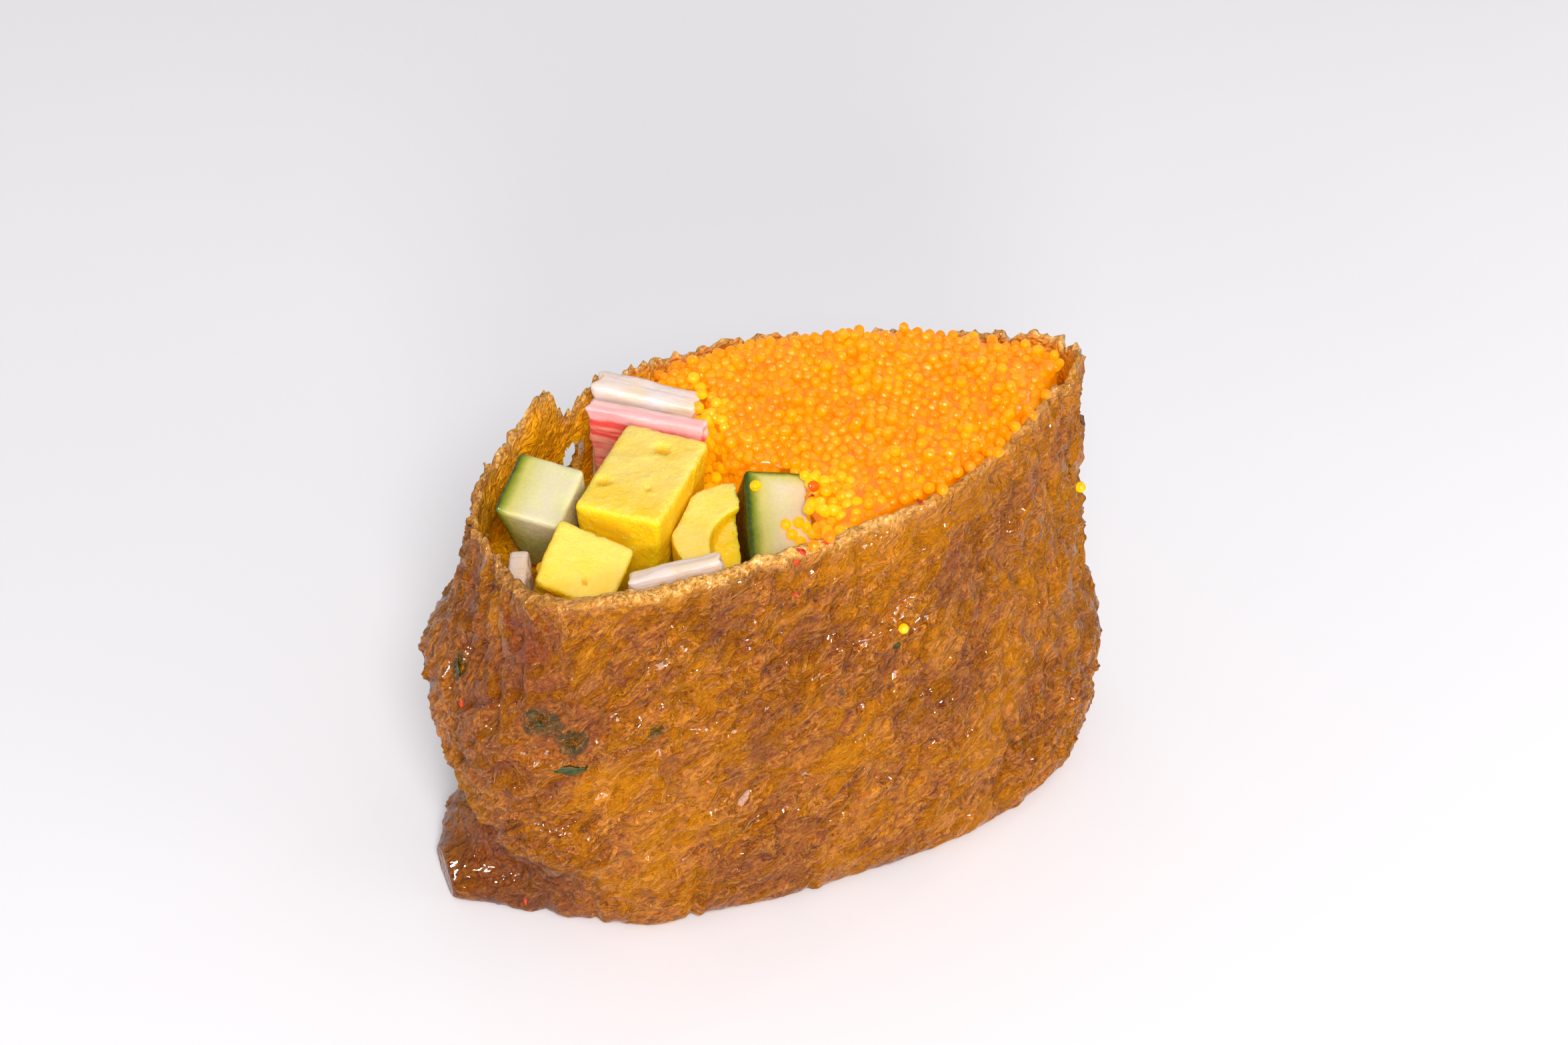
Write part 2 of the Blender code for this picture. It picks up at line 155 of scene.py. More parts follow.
def ramp(value, start, end):
    """0 before start, 1 after end, and a smooth climb between. Works on numbers and on grids."""
    share = np.clip((value - start) / (end - start), 0.0, 1.0)
    return share * share * (3.0 - 2.0 * share)


def bell(distance, spread):
    return np.exp(-0.5 * (distance / spread) ** 2)


def mixed(low, high, share):
    return low + (high - low) * share


def in_line(values, second=0.0):
    """Points for noise_at that run along one line, at these values."""
    return np.stack((values, values * 0 + second, values * 0), axis=-1)


def noise_at(points, seed=0.0):
    """Smooth noise at every point of an array whose last axis is x, y, z, about one unit to a feature."""
    flat = (points + np.array((17.31, 5.17, 11.73)) * seed).reshape(-1, 3).tolist()
    return np.array([noise.noise(point) for point in flat]).reshape(points.shape[:-1])


def crest(field, width):
    """Thin crests along the lines where a noise field passes through zero."""
    return np.clip(1.0 - np.abs(field) / width, 0.0, 1.0) ** 1.4


def smoothed(grid, rows, columns):
    """The grid blurred over this many rows, and columns, which close into a ring."""
    for axis, spread in ((0, rows), (1, columns)):
        reach = int(3 * spread)
        if reach < 1:
            continue
        weights = bell(np.arange(-reach, reach + 1), spread)
        weights /= weights.sum()
        pad = [(0, 0), (0, 0)]
        pad[axis] = (reach, reach)
        padded = np.pad(grid, pad, mode="edge" if axis == 0 else "wrap")
        length = grid.shape[axis]
        grid = sum(
            weight * np.take(padded, np.arange(start, start + length), axis=axis)
            for start, weight in enumerate(weights)
        )
    return grid


# ---- meshes and objects -------------------------------------------------------------------------


def welded(node):
    """A CAD node's mesh in mm with its corners joined."""
    mesh = bmesh.new()
    mesh.from_mesh(frame["nodes"][node].data)
    bmesh.ops.scale(mesh, vec=(1 / MM,) * 3, verts=mesh.verts)
    bmesh.ops.remove_doubles(mesh, verts=mesh.verts, dist=0.001)
    return mesh


def surface_of(node):
    mesh = welded(node)
    tree = BVHTree.FromBMesh(mesh)
    mesh.free()
    return tree


def as_piece(name, mesh, look, nodes):
    """Links a mesh to the scene as a piece of the object, with its finish and its place in the frame."""
    piece = bpy.data.objects.new(name, mesh)
    bpy.context.scene.collection.objects.link(piece)
    mesh.materials.clear()
    mesh.materials.append(look)
    mesh.shade_smooth()
    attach(piece, BODY)
    if nodes:
        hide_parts(*nodes)
    return piece


def mesh_of(name, points, faces, **fields):
    """A mesh from points in mm and faces, with a named value at each point for every field."""
    mesh = bpy.data.meshes.new(name)
    mesh.from_pydata((np.asarray(points) * MM).tolist(), [], faces)
    for field, values in fields.items():
        attribute = mesh.attributes.new(field, "FLOAT", "POINT")
        attribute.data.foreach_set("value", np.ravel(values).astype(np.float32))
    mesh.validate()
    return mesh


def ball_of(divisions, radius):
    """A ball's corners and faces as arrays."""
    ball = bmesh.new()
    bmesh.ops.create_icosphere(ball, subdivisions=divisions, radius=radius)
    corners = np.array([vert.co[:] for vert in ball.verts])
    sides = np.array([[vert.index for vert in face.verts] for face in ball.faces])
    ball.free()
    return corners, sides


def finder_of(places):
    """A finder of the nearest of these places."""
    finder = kdtree.KDTree(len(places))
    for index, place in enumerate(places):
        finder.insert(place, index)
    finder.balance()
    return finder


def finely_divided(node, voxel, smoothing):
    """A CAD node's shape as an evenly divided mesh: its points and normals in mm, and its faces."""
    start = bpy.data.meshes.new(node)
    mesh = welded(node)
    bmesh.ops.scale(mesh, vec=(MM,) * 3, verts=mesh.verts)
    mesh.to_mesh(start)
    mesh.free()
    helper = bpy.data.objects.new("helper", start)
    bpy.context.scene.collection.objects.link(helper)
    remesh = helper.modifiers.new("even", "REMESH")
    remesh.mode = "VOXEL"
    remesh.voxel_size = voxel * MM
    smooth = helper.modifiers.new("smooth", "SMOOTH")
    smooth.iterations = smoothing
    shaped = helper.evaluated_get(bpy.context.evaluated_depsgraph_get()).to_mesh()
    points = np.array([vert.co[:] for vert in shaped.vertices]) / MM
    normals = np.array([vert.normal[:] for vert in shaped.vertices])
    faces = [tuple(face.vertices) for face in shaped.polygons]
    bpy.data.objects.remove(helper)
    bpy.data.meshes.remove(start)
    return points, normals, faces


# ---- node helpers -------------------------------------------------------------------------------


def add_node(tree, kind, inputs=None, **settings):
    """A node with its settings made and its inputs set, or joined where the value is a socket."""
    made = tree.nodes.new(kind)
    for name, value in settings.items():
        setattr(made, name, value)
    for name, value in (inputs or {}).items():
        if isinstance(value, bpy.types.NodeSocket):
            tree.links.new(value, made.inputs[name])
        else:
            made.inputs[name].default_value = value
    return made


def maths(tree, operation, first, second=0.0, clamp=False):
    node = add_node(tree, "ShaderNodeMath", {0: first, 1: second}, operation=operation, use_clamp=clamp)
    return node.outputs[0]


def blend_colour(tree, share, low, high):
    node = add_node(tree, "ShaderNodeMix", {0: share, 6: low, 7: high}, data_type="RGBA")
    return node.outputs[2]


def spread(tree, value, low, high, start=0.0, end=1.0):
    """Maps low..high to start..end, smoothly and within those ends."""
    node = add_node(
        tree, "ShaderNodeMapRange",
        {"Value": value, "From Min": low, "From Max": high, "To Min": start, "To Max": end},
        interpolation_type="SMOOTHSTEP",
    )
    return node.outputs["Result"]


def point_value(tree, name):
    return add_node(tree, "ShaderNodeAttribute", attribute_name=name).outputs["Fac"]


def object_place(tree):
    return add_node(tree, "ShaderNodeTexCoord").outputs["Object"]


def noise_value(tree, place, size, detail=2.0, roughness=0.5, distortion=0.0):
    """Noise with features of this size in mm."""
    node = add_node(
        tree, "ShaderNodeTexNoise",
        {"Vector": place, "Scale": 1.0 / (size * MM), "Detail": detail, "Roughness": roughness,
         "Distortion": distortion},
    )
    return node.outputs["Fac"]


def bumped(tree, height, depth, under=None):
    inputs = {"Height": height, "Distance": depth * MM, "Strength": 1.0}
    if under is not None:
        inputs["Normal"] = under
    return add_node(tree, "ShaderNodeBump", inputs).outputs["Normal"]


def new_look(name):
    """A material, its node tree and its main shader."""
    look = bpy.data.materials.new(name)
    look.use_nodes = True
    return look, look.node_tree, look.node_tree.nodes["Principled BSDF"]


def joined(tree, shader, **sockets):
    """Joins or sets the shader's inputs; a name's underscores stand for spaces."""
    for name, value in sockets.items():
        socket = shader.inputs[name.replace("_", " ")]
        if isinstance(value, bpy.types.NodeSocket):
            tree.links.new(value, socket)
        else:
            socket.default_value = value


def shared_group(name, inputs, make):
    """A node group with one Vector and these number inputs, and one Value out. It is made only once."""
    if name in bpy.data.node_groups:
        return bpy.data.node_groups[name]
    group = bpy.data.node_groups.new(name, "ShaderNodeTree")
    group.interface.new_socket("Vector", in_out="INPUT", socket_type="NodeSocketVector")
    for label, default in inputs.items():
        socket = group.interface.new_socket(label, in_out="INPUT", socket_type="NodeSocketFloat")
        socket.default_value = default
    group.interface.new_socket("Value", in_out="OUTPUT", socket_type="NodeSocketFloat")
    entry = group.nodes.new("NodeGroupInput")
    leave = group.nodes.new("NodeGroupOutput")
    group.links.new(make(group, entry.outputs), leave.inputs["Value"])
    return group


def placed(tree, group, place, **values):
    node = add_node(tree, "ShaderNodeGroup", node_tree=group)
    tree.links.new(place, node.inputs["Vector"])
    for label, value in values.items():
        node.inputs[label].default_value = value
    return node.outputs["Value"]


def fibre_web():
    """A web of thin, bent fibres."""
    def make(tree, entry):
        scale = maths(tree, "DIVIDE", 1 / MM, entry["Spacing"])
        warp = add_node(tree, "ShaderNodeTexNoise",
                        {"Vector": entry["Vector"], "Scale": scale, "Detail": 2.0})
        shift = add_node(tree, "ShaderNodeVectorMath", {0: warp.outputs["Color"], 1: (0.5, 0.5, 0.5)},
                         operation="SUBTRACT")
        reach = maths(tree, "MULTIPLY", entry["Spacing"], entry["Bend"])
        reach = maths(tree, "MULTIPLY", reach, MM)
        moved = add_node(tree, "ShaderNodeVectorMath", {0: shift.outputs[0], "Scale": reach},
                         operation="SCALE")
        place = add_node(tree, "ShaderNodeVectorMath", {0: entry["Vector"], 1: moved.outputs[0]},
                         operation="ADD")
        lines = add_node(tree, "ShaderNodeTexNoise",
                         {"Vector": place.outputs[0], "Scale": scale, "Detail": 3.0, "Roughness": 0.6})
        far = maths(tree, "ABSOLUTE", maths(tree, "SUBTRACT", lines.outputs["Fac"], 0.5))
        return maths(tree, "SUBTRACT", 1.0, maths(tree, "DIVIDE", far, entry["Thickness"]), clamp=True)
    return shared_group("fibre_web", {"Spacing": 2.0, "Bend": 1.5, "Thickness": 0.08}, make)


def fine_grain():
    """Two sizes of noise together, from 0 to 1."""
    def make(tree, entry):
        scale = maths(tree, "DIVIDE", 1 / MM, entry["Size"])
        finer = maths(tree, "MULTIPLY", scale, 3.7)
        coarse = add_node(tree, "ShaderNodeTexNoise",
                          {"Vector": entry["Vector"], "Scale": scale, "Detail": 2.0})
        fine = add_node(tree, "ShaderNodeTexNoise",
                        {"Vector": entry["Vector"], "Scale": finer, "Detail": 3.0})
        kept = maths(tree, "MULTIPLY", coarse.outputs["Fac"], maths(tree, "SUBTRACT", 1.0, entry["Fineness"]))
        return maths(tree, "ADD", kept, maths(tree, "MULTIPLY", fine.outputs["Fac"], entry["Fineness"]))
    return shared_group("fine_grain", {"Size": 1.0, "Fineness": 0.4}, make)


# ---- pouch shape --------------------------------------------------------------------------------


def outline_of(tree):
    """The pouch's outline at equal steps from its -X end, counter-clockwise, and its outward directions."""
    reached = []
    for angle in np.linspace(math.pi, 3 * math.pi, OUTLINE_RAYS, endpoint=False):
        way = Vector((math.cos(angle), math.sin(angle), 0.0))
        hit = tree.ray_cast(Vector((0.0, 0.0, OUTLINE_Z)) + way * FAR_OUT, -way)[0]
        reached.append(hit[:2])
    line = np.array(reached + reached[:1])
    gone = np.concatenate(([0.0], np.cumsum(np.hypot(*np.diff(line, axis=0).T))))
    stops = np.linspace(0.0, gone[-1], COLUMNS, endpoint=False)
    points = np.column_stack([np.interp(stops, gone, line[:, axis]) for axis in (0, 1)])
    points = smoothed(points.T, 0, 4).T
    along = np.roll(points, -2, axis=0) - np.roll(points, 2, axis=0)
    outward = smoothed(np.column_stack((along[:, 1], -along[:, 0])).T, 0, 5).T
    return points, outward / np.linalg.norm(outward, axis=1)[:, None], gone[-1]


class PouchForm:
    """The CAD pouch felt from outside: for each column of the skin, its rim and how far out its wall is."""

    def __init__(self):
        tree = surface_of("pouch")
        self.line, self.outward, self.girth = outline_of(tree)
        self.run = np.arange(COLUMNS) * self.girth / COLUMNS
        self.turn = np.arange(COLUMNS) / COLUMNS
        self.floor = tree.ray_cast(Vector(FILL_SPOT), Vector(DOWN))[0].z
        self.rim = np.array([self.rim_of(tree, column) for column in range(COLUMNS)])
        self.rim = smoothed(self.rim[None, :], 0, 2)[0]

    def felt(self, tree, column, z, depth=FEEL_DEPTH):
        """How far outside the outline the wall is at this height, or nan where nothing is felt."""
        out = Vector((*self.outward[column], 0.0))
        start = Vector((*self.line[column], z)) + out * STAND_OFF
        distance = tree.ray_cast(start, -out, STAND_OFF + depth)[3]
        return math.nan if distance is None else STAND_OFF - distance

    def rim_of(self, tree, column):
        """The greatest height at which a wall is still felt in this column."""
        low, high = RIM_SEARCH
        for _ in range(RIM_SEARCH_STEPS):
            middle = (low + high) / 2
            if math.isnan(self.felt(tree, column, middle)):
                high = middle
            else:
                low = middle
        return low


def row_heights(form, ragged):
    """The height of every row of the skin in every column, bottom to top."""
    angle = np.linspace(0.0, math.pi / 2, FOOT_ROWS, endpoint=False)
    foot = FOOT_ROUND * (1.0 - np.cos(angle))
    wall = np.linspace(FOOT_ROUND, form.floor, WALL_ROWS, endpoint=False)
    below = np.repeat(np.concatenate((foot, wall))[:, None], COLUMNS, axis=1)
    top = form.rim + ragged - RIM_DROP
    cuff = mixed(form.floor, top[None, :], np.linspace(0.0, 1.0, CUFF_ROWS + 1)[:, None])
    return np.vstack((below, cuff))


def wrapped(form, run, z, sample):
    """A pattern drawn on the unrolled skin, with its seam blended away at the back."""
    start = form.girth * SEAM_TURN
    run = (run + start) % form.girth
    late = ramp(run, form.girth - SEAM_WIDTH, form.girth)
    drawn = sample(run, z)
    strip = late[0] > 0.0
    before = sample(run[:, strip] - form.girth, z[:, strip])
    drawn[:, strip] = mixed(drawn[:, strip], before, late[:, strip])
    return drawn


def slanting_noise(form, run, z, degrees, across, along, seed):
    """Noise drawn out along one direction of the skin; across and along are its sizes in mm."""
    cos, sin = math.cos(math.radians(degrees)), math.sin(math.radians(degrees))

    def sample(run, z):
        spot = np.stack(((run * cos + z * sin) / along, (z * cos - run * sin) / across,
                         np.full(z.shape, 0.37)), axis=-1)
        return noise_at(spot, seed)
    return wrapped(form, run, z, sample)


def skin_relief(form, z):
    """How far the skin stands out from its smooth form, and the same from -1 in hollows to 1 on crests."""
    run = np.broadcast_to(form.run, z.shape)
    turn = np.broadcast_to(form.turn, z.shape)
    near_end = np.minimum(turn, 1.0 - turn)            # 0 at the -X end, 0.5 at the +X end
    bend = [slanting_noise(form, run, z, 0, 4.0, 4.0, seed) * 2.4 for seed in (3, 4)]
    bent_run, bent_z = run + bend[0], z + bend[1]
    upright = ramp(near_end, 0.33, 0.42) + (1.0 - ramp(near_end, 0.10, 0.16)) * ramp(z, 26, 34)
    level = (1.0 - ramp(z, 6, 14)) * ramp(near_end, 0.08, 0.16)
    upright, level = np.clip(upright, 0, 1), np.clip(level, 0, 1) * 0.7
    slant = np.clip(1.0 - upright - level, 0, 1)
    relief = np.zeros(z.shape)
    for degrees, share, seed in ((SLANT, slant, 10), (UPRIGHT_SLANT, upright, 20), (FOOT_SLANT, level, 30)):
        fold = slanting_noise(form, bent_run, bent_z, degrees, 3.0, 6.6, seed)
        pleat = slanting_noise(form, bent_run, bent_z, degrees, 1.5, 3.2, seed + 1)
        line = slanting_noise(form, bent_run, bent_z, degrees, 0.85, 1.7, seed + 2)
        relief += share * (0.34 * fold + 0.20 * crest(fold, 0.22) + 0.24 * pleat + 0.20 * crest(pleat, 0.24)
                           + 0.17 * line + 0.12 * crest(line, 0.24))
    ends = 0.12 * (1.0 - ramp(near_end, 0.09, 0.17)) + 0.30 * ramp(near_end, 0.38, 0.46)
    relief = 1.6 * (1.0 + ends) * (relief - smoothed(relief, 18, 18) * 0.5)
    blister = slanting_noise(form, run, z, 0, 2.4, 2.4, 41)
    relief += 0.40 * np.clip(blister, 0, 1) * ramp(near_end, 0.30, 0.42)
    relief *= (1.0 - 0.15 * below_fold(form, z)) * mixed(0.35, 1.0, ramp(z, 0.0, 5.0))
    relief += below_fold(form, z) * 0.9 * slanting_noise(form, run, z, 60, 2.6, 3.6, 44)
    crests = relief - smoothed(relief, 4, 4)
    toe = sum(reach * bell(turn_from_end(form.turn) - turn_at, width) * (1.0 - ramp(z, low, high))
              for turn_at, width, reach, low, high in (TOE, TUCK))
    return relief + toe + fold_relief(form, z) + creases_relief(form, z), np.tanh(crests / 0.18)


def turn_from_end(turn):
    """The turn counted from the -X end, between -0.5 and 0.5; the front is above 0."""
    return (turn + 0.5) % 1.0 - 0.5


def below_fold(form, z):
    """1 in the wet hollow that the folded skin hangs over, 0 elsewhere."""
    turn = turn_from_end(form.turn)
    edge = np.interp(turn, *zip(*FOLD_EDGE))
    return ((1.0 - ramp(z, edge - 0.8, edge + 0.2)) * (1.0 - ramp(turn, 0.105, 0.15))
            * ramp(turn, -0.13, -0.08))


def creases_relief(form, z):
    """The few long creases that run down the front from the rim."""
    relief = np.zeros(z.shape)
    for start, slope, top, bottom, width, depth in CREASES:
        middle = start + slope * (44.0 - z) + 1.1 * noise_at(in_line(z / 4.5, start), 46.0)
        away = form.run - middle
        along = ramp(z, bottom, bottom + 4.0) * (1.0 - ramp(z, top - 2.0, top))
        relief += along * (0.35 * bell(away - 1.1 * width, width) - depth * bell(away, 0.6 * width))
    return relief


def fold_relief(form, z):
    """The lip of the folded skin, and the crease right under it."""
    turn = turn_from_end(form.turn)
    wander = 0.6 * noise_at(in_line(form.run / 3.0), 45.0)
    above = z - np.interp(turn, *zip(*FOLD_EDGE)) - wander
    strength = ramp(turn, -0.09, -0.04) * (1.0 - ramp(turn, 0.10, 0.155))
    lip = 0.75 * np.exp(-np.clip(above, 0, None) / 2.2) * (above > 0)
    crease = -0.85 * np.exp(-np.clip(-above, 0, None) / 1.3) * (above <= 0)
    return smoothed(strength * (lip + crease), 0.7, 0.7)


def ring_faces(first, left_open=None):
    """Quads between one ring of points and the next, without those that are left open."""
    after = [(here + 1) % COLUMNS for here in range(COLUMNS)]
    return [
        (first + here, first + after[here], first + COLUMNS + after[here], first + COLUMNS + here)
        for here in range(COLUMNS)
        if left_open is None or not left_open[here]
    ]


def ragged_rim(form):
    """How far the rim rises and dips in each column, and how torn it is there, from 0 to 1."""
    rim_line = in_line(form.run / 1.6)
    far = ramp(np.minimum(form.turn, 1 - form.turn), 0.0, 0.01) * ramp(form.turn, 0.40, 0.48)
    left = 1.0 - ramp(form.turn, 0.04, 0.09)
    frayed = np.clip(far + left, 0, 1)
    ragged = mixed(*RAGGED, frayed) * (noise_at(rim_line, 2.0) + noise_at(rim_line * 2.3, 5.0) - 0.25)
    flap = bell(turn_from_end(form.turn) - FLAP_TURN, FLAP_WIDTH)
    ragged += flap * FLAP_RISE * (crest(noise_at(rim_line * 1.3, 19.0), 0.35) - 0.5)
    ragged -= SPILL_DROP * bell(form.turn - SPILL_TURN, 0.05)
    return ragged, frayed


def rim_fields(form, z, ring_count, first_out):
    """How far each point belongs to the crumbly cut edge, and to the rim that the eggs shine through, which
    is painted light.
    """
    rows = len(z)
    outside = slice(first_out * COLUMNS, (first_out + rows) * COLUMNS)
    cut = np.where(np.repeat(np.arange(ring_count), COLUMNS) >= first_out + rows, 1.0, 0.0)
    from_rim = (z[-1][None, :] - z).ravel()
    cut[outside] = 0.75 * np.exp(-from_rim / 0.5)
    turn = form.turn
    crumbly = 0.40 + 0.60 * ramp(turn, 0.12, 0.17) * (1.0 - ramp(turn, 0.30, 0.36))
    crumbly += 0.35 * ramp(turn, 0.50, 0.55) * (1.0 - ramp(turn, 0.90, 0.95))
    cut *= np.tile(crumbly, ring_count)
    painted_egg_light = np.zeros(ring_count * COLUMNS)
    wet_rim = bell(turn - PAINTED_EGG_LIGHT_TURN, PAINTED_EGG_LIGHT_WIDTH)
    painted_egg_light[outside] = np.tile(wet_rim, rows) * np.exp(-from_rim / PAINTED_EGG_LIGHT_DEPTH)
    return cut, painted_egg_light


def pouch_faces(ring_count, first_out, first_in, cells):
    """Quads between neighbouring rings. The torn cells of the skin and of the lining behind it are left open,
    and skin and lining are joined round each hole."""
    rows = len(cells) + 1
    faces = []
    for ring in range(ring_count - 1):
        left_open = None
        if first_out <= ring < first_out + rows - 1:
            left_open = cells[ring - first_out]
        elif first_in <= ring < first_in + CUFF_ROWS:
            left_open = cells[rows - 2 - (ring - first_in)]
        faces += ring_faces(ring * COLUMNS, left_open)
    for row, column in zip(*np.nonzero(cells)):
        after = (column + 1) % COLUMNS
        out_low, in_low = (first_out + row) * COLUMNS, (first_in + rows - 1 - row) * COLUMNS
        out_high, in_high = out_low + COLUMNS, in_low - COLUMNS
        if not cells[row - 1, column]:
            faces.append((out_low + column, in_low + column, in_low + after, out_low + after))
        if not cells[row + 1, column]:
            faces.append((out_high + after, in_high + after, in_high + column, out_high + column))
        if not cells[row, column - 1]:
            faces.append((out_high + column, in_high + column, in_low + column, out_low + column))
        if not cells[row, after]:
            faces.append((out_low + after, in_low + after, in_high + after, out_high + after))
    faces.append(tuple(range(COLUMNS))[::-1])
    faces.append(tuple(range((ring_count - 1) * COLUMNS, ring_count * COLUMNS)))
    return faces


def towards_middle(ring, share, height):
    """A ring drawn in towards its middle, all at one height."""
    middle = ring.mean(axis=0)
    drawn = middle + (ring - middle) * share
    drawn[:, 2] = height
    return drawn


def build_pouch(settings):
    form = PouchForm()
    tree = surface_of("pouch")
    ragged, frayed = ragged_rim(form)
    z = row_heights(form, ragged)
    rows = z.shape[0]
    depth = np.array([[form.felt(tree, column, min(z[row, column], form.rim[column] - RIM_DROP))
                       for column in range(COLUMNS)] for row in range(rows)])
    torn = np.isnan(depth)
    for column in np.nonzero(torn.any(axis=0))[0]:
        felt = ~torn[:, column]
        depth[:, column] = np.interp(np.arange(rows), np.nonzero(felt)[0], depth[felt, column])
    depth = smoothed(depth, 2.2, 2.6)
    relief, crests = skin_relief(form, z)
    spot = np.concatenate((np.broadcast_to(form.line, (rows, COLUMNS, 2)), z[..., None]), axis=-1)
    torn = smoothed(torn.astype(float), 1.0, 1.0) + 0.3 * noise_at(spot / 1.1, 6.0) * (torn.any()) > 0.45
    torn &= smoothed(torn.astype(float), 3.0, 3.0) > 0.2

    def placed_at(out, heights):
        flat = form.line[None, :, :] + out[..., None] * form.outward[None, :, :]
        return np.concatenate((flat, heights[..., None]), axis=-1)

    outside = placed_at(depth + relief, z)
    lining_z = z[LOW_ROWS:]
    lining_spot = placed_at(depth[LOW_ROWS:], lining_z)
    sponge = 0.22 * noise_at(lining_spot / 2.2, 7.0) + 0.12 * noise_at(lining_spot / 0.9, 8.0)
    down = z[-1][None, :] - lining_z
    thin = mixed(*RIM_THICKNESS, np.clip(frayed + bell(form.turn - SPILL_TURN, 0.06), 0, 1))
    thickness = mixed(thin[None, :], WALL_THICKNESS, ramp(down, 0.0, 4.5))
    lining_out = smoothed(depth + relief * 0.6, 4, 4)[LOW_ROWS:] - thickness + sponge * ramp(down, 0.0, 1.0)
    lining = placed_at(lining_out, lining_z)

    rim_rows = []
    for step in range(1, RIM_ROWS):
        across = step / RIM_ROWS
        place = mixed(outside[-1], lining[-1], across)
        lift = RIM_DROP * math.sin(math.pi * across) ** 0.6
        crumb = mixed(*CRUMBS, frayed) * noise_at(place / CRUMB_SIZE, 9.0)
        place[:, 2] += lift + crumb * math.sin(math.pi * across)
        rim_rows.append(place)

    sole = [towards_middle(outside[0], share, 0.0)
            for share in np.linspace(RING_LEAST, 1.0, SOLE_RINGS, endpoint=False)]
    floor = [towards_middle(lining[0], share, form.floor)
             for share in np.linspace(1.0, RING_LEAST, FLOOR_RINGS + 1)[1:]]
    rings = [*sole, *outside, *rim_rows, *lining[::-1], *floor]
    first_out, first_rim = len(sole), len(sole) + rows
    first_in = first_rim + len(rim_rows)
    points = np.concatenate(rings)
    cells = torn[:-1] | torn[1:]
    cells |= np.roll(cells, -1, axis=1)
    cells[:LOW_ROWS] = False
    faces = pouch_faces(len(rings), first_out, first_in, cells)

    skin = slice(first_out * COLUMNS, first_rim * COLUMNS)
    sunk, raised, inner = np.zeros((3, len(points)))
    # The hollow under the fold: wet, and darkened there as painted shade.
    sunk[skin] = below_fold(form, z).ravel()
    raised[skin] = crests.ravel()
    inner[first_in * COLUMNS:] = 1.0
    inner[first_in * COLUMNS:(first_in + len(lining)) * COLUMNS] = 1 - np.exp(-down[::-1].ravel())
    cut, painted_egg_light = rim_fields(form, z, len(rings), first_out)
    low, high = (np.array(corner) / MM for corner in CAD_BOX)
    points = np.clip(points, low, high)
    used = sorted({index for face in faces for index in face})
    renumbered = {old: new for new, old in enumerate(used)}
    faces = [tuple(renumbered[index] for index in face) for face in faces]
    points = points[used]
    mesh = mesh_of("tofu_pouch", points, faces, raised=raised[used], cut=cut[used], inner=inner[used],
                   sunk=sunk[used], stain=marks_at(points, STAINS_AND_END_SHADE), net=marks_at(points, NETS),
                   golden=np.maximum(marks_at(points, PAINTED_LIGHT_MARKS), painted_egg_light[used]))
    return as_piece("tofu_pouch", mesh, skin_look(settings), ["pouch"])


def marks_at(points, marks):
    """How strongly each point is inside the marks, whose outlines are uneven."""
    uneven = 1.0 + 0.35 * noise_at(points / 1.6, 51.0)
    inside = np.zeros(len(points))
    for middle, radius, strength in marks:
        away = np.linalg.norm(points - np.array(middle), axis=1) * uneven / radius
        inside = np.maximum(inside, strength * (1.0 - ramp(away, 0.5, 1.3)))
    return inside


# ---- toppings -----------------------------------------------------------------------------------

OMELETTE = ("omelette_long", "omelette_short", "omelette_end")
CRAB_WHITE = ("crab_slab", "crab_strip_front", "crab_strip_left")
# What each cut topping gets: fineness of its mesh, large and small unevenness, and how ragged its ends are.
CUTS = {
    "omelette_long": (0.26, 0.20, 0.06, 0.0),
    "omelette_short": (0.26, 0.20, 0.06, 0.0),
    "omelette_end": (0.26, 0.16, 0.06, 0.0),
    "cucumber_left": (0.26, 0.07, 0.015, 0.0),
    "cucumber_right": (0.26, 0.07, 0.015, 0.0),
    "crab_stick": (0.22, 0.16, 0.04, 0.5),
    "crab_slab": (0.24, 0.22, 0.04, 0.8),
    "crab_strip_front": (0.22, 0.14, 0.04, 0.7),
    "crab_strip_left": (0.24, 0.14, 0.04, 0.4),
}
# Pits in the omelette's top faces: x, y, their radius and their depth.
PITS = ((-11.1, 3.3, 0.85, 0.8), (-18.2, 0.1, 0.8, 0.7), (-14.4, -2.6, 0.35, 0.3), (-23.6, -11.6, 0.35, 0.4),
        (-21.0, -7.5, 0.4, 0.3))
FIBRE_SIZES = (9, 0.9, 1.3)     # how large the tufts at a ragged end are to the right, back and up
# Painted shade: the whole short block is darkened, since it faces the light more than the others.
SHORT_SHADE = 0.32          # how much of the pits' darker colour the whole short block of omelette has
TOP_LEAST = 0.75            # a face that looks up more than this belongs to a topping's top


def dice_axes(node):
    """The middle of a cut topping's top face in mm, and its right, back and up directions as rows."""
    faces = frame["nodes"][node].data.polygons
    normals = np.array([face.normal[:] for face in faces])
    areas = np.array([face.area for face in faces])[:, None]
    middles = np.array([face.center[:] for face in faces]) / MM
    top = normals[:, 2] > TOP_LEAST
    up = (normals[top] * areas[top]).sum(axis=0)
    up /= np.linalg.norm(up)
    middle = (middles[top] * areas[top]).sum(axis=0) / areas[top].sum()
    corners = np.array([vert.co[:] for vert in frame["nodes"][node].data.vertices]) / MM - middle
    level = np.array((1.0, 0.0, 0.0)) - up * up[0]
    level /= np.linalg.norm(level)
    tried = []
    for angle in np.radians(np.arange(-45.0, 45.0, 0.5)):
        right = math.cos(angle) * level + math.sin(angle) * np.cross(up, level)
        sides = corners @ np.array((right, np.cross(up, right))).T
        tried.append((np.prod(np.ptp(sides, axis=0)), tuple(right)))
    right = np.array(min(tried)[1])
    return middle, np.array((right, np.cross(up, right), up))


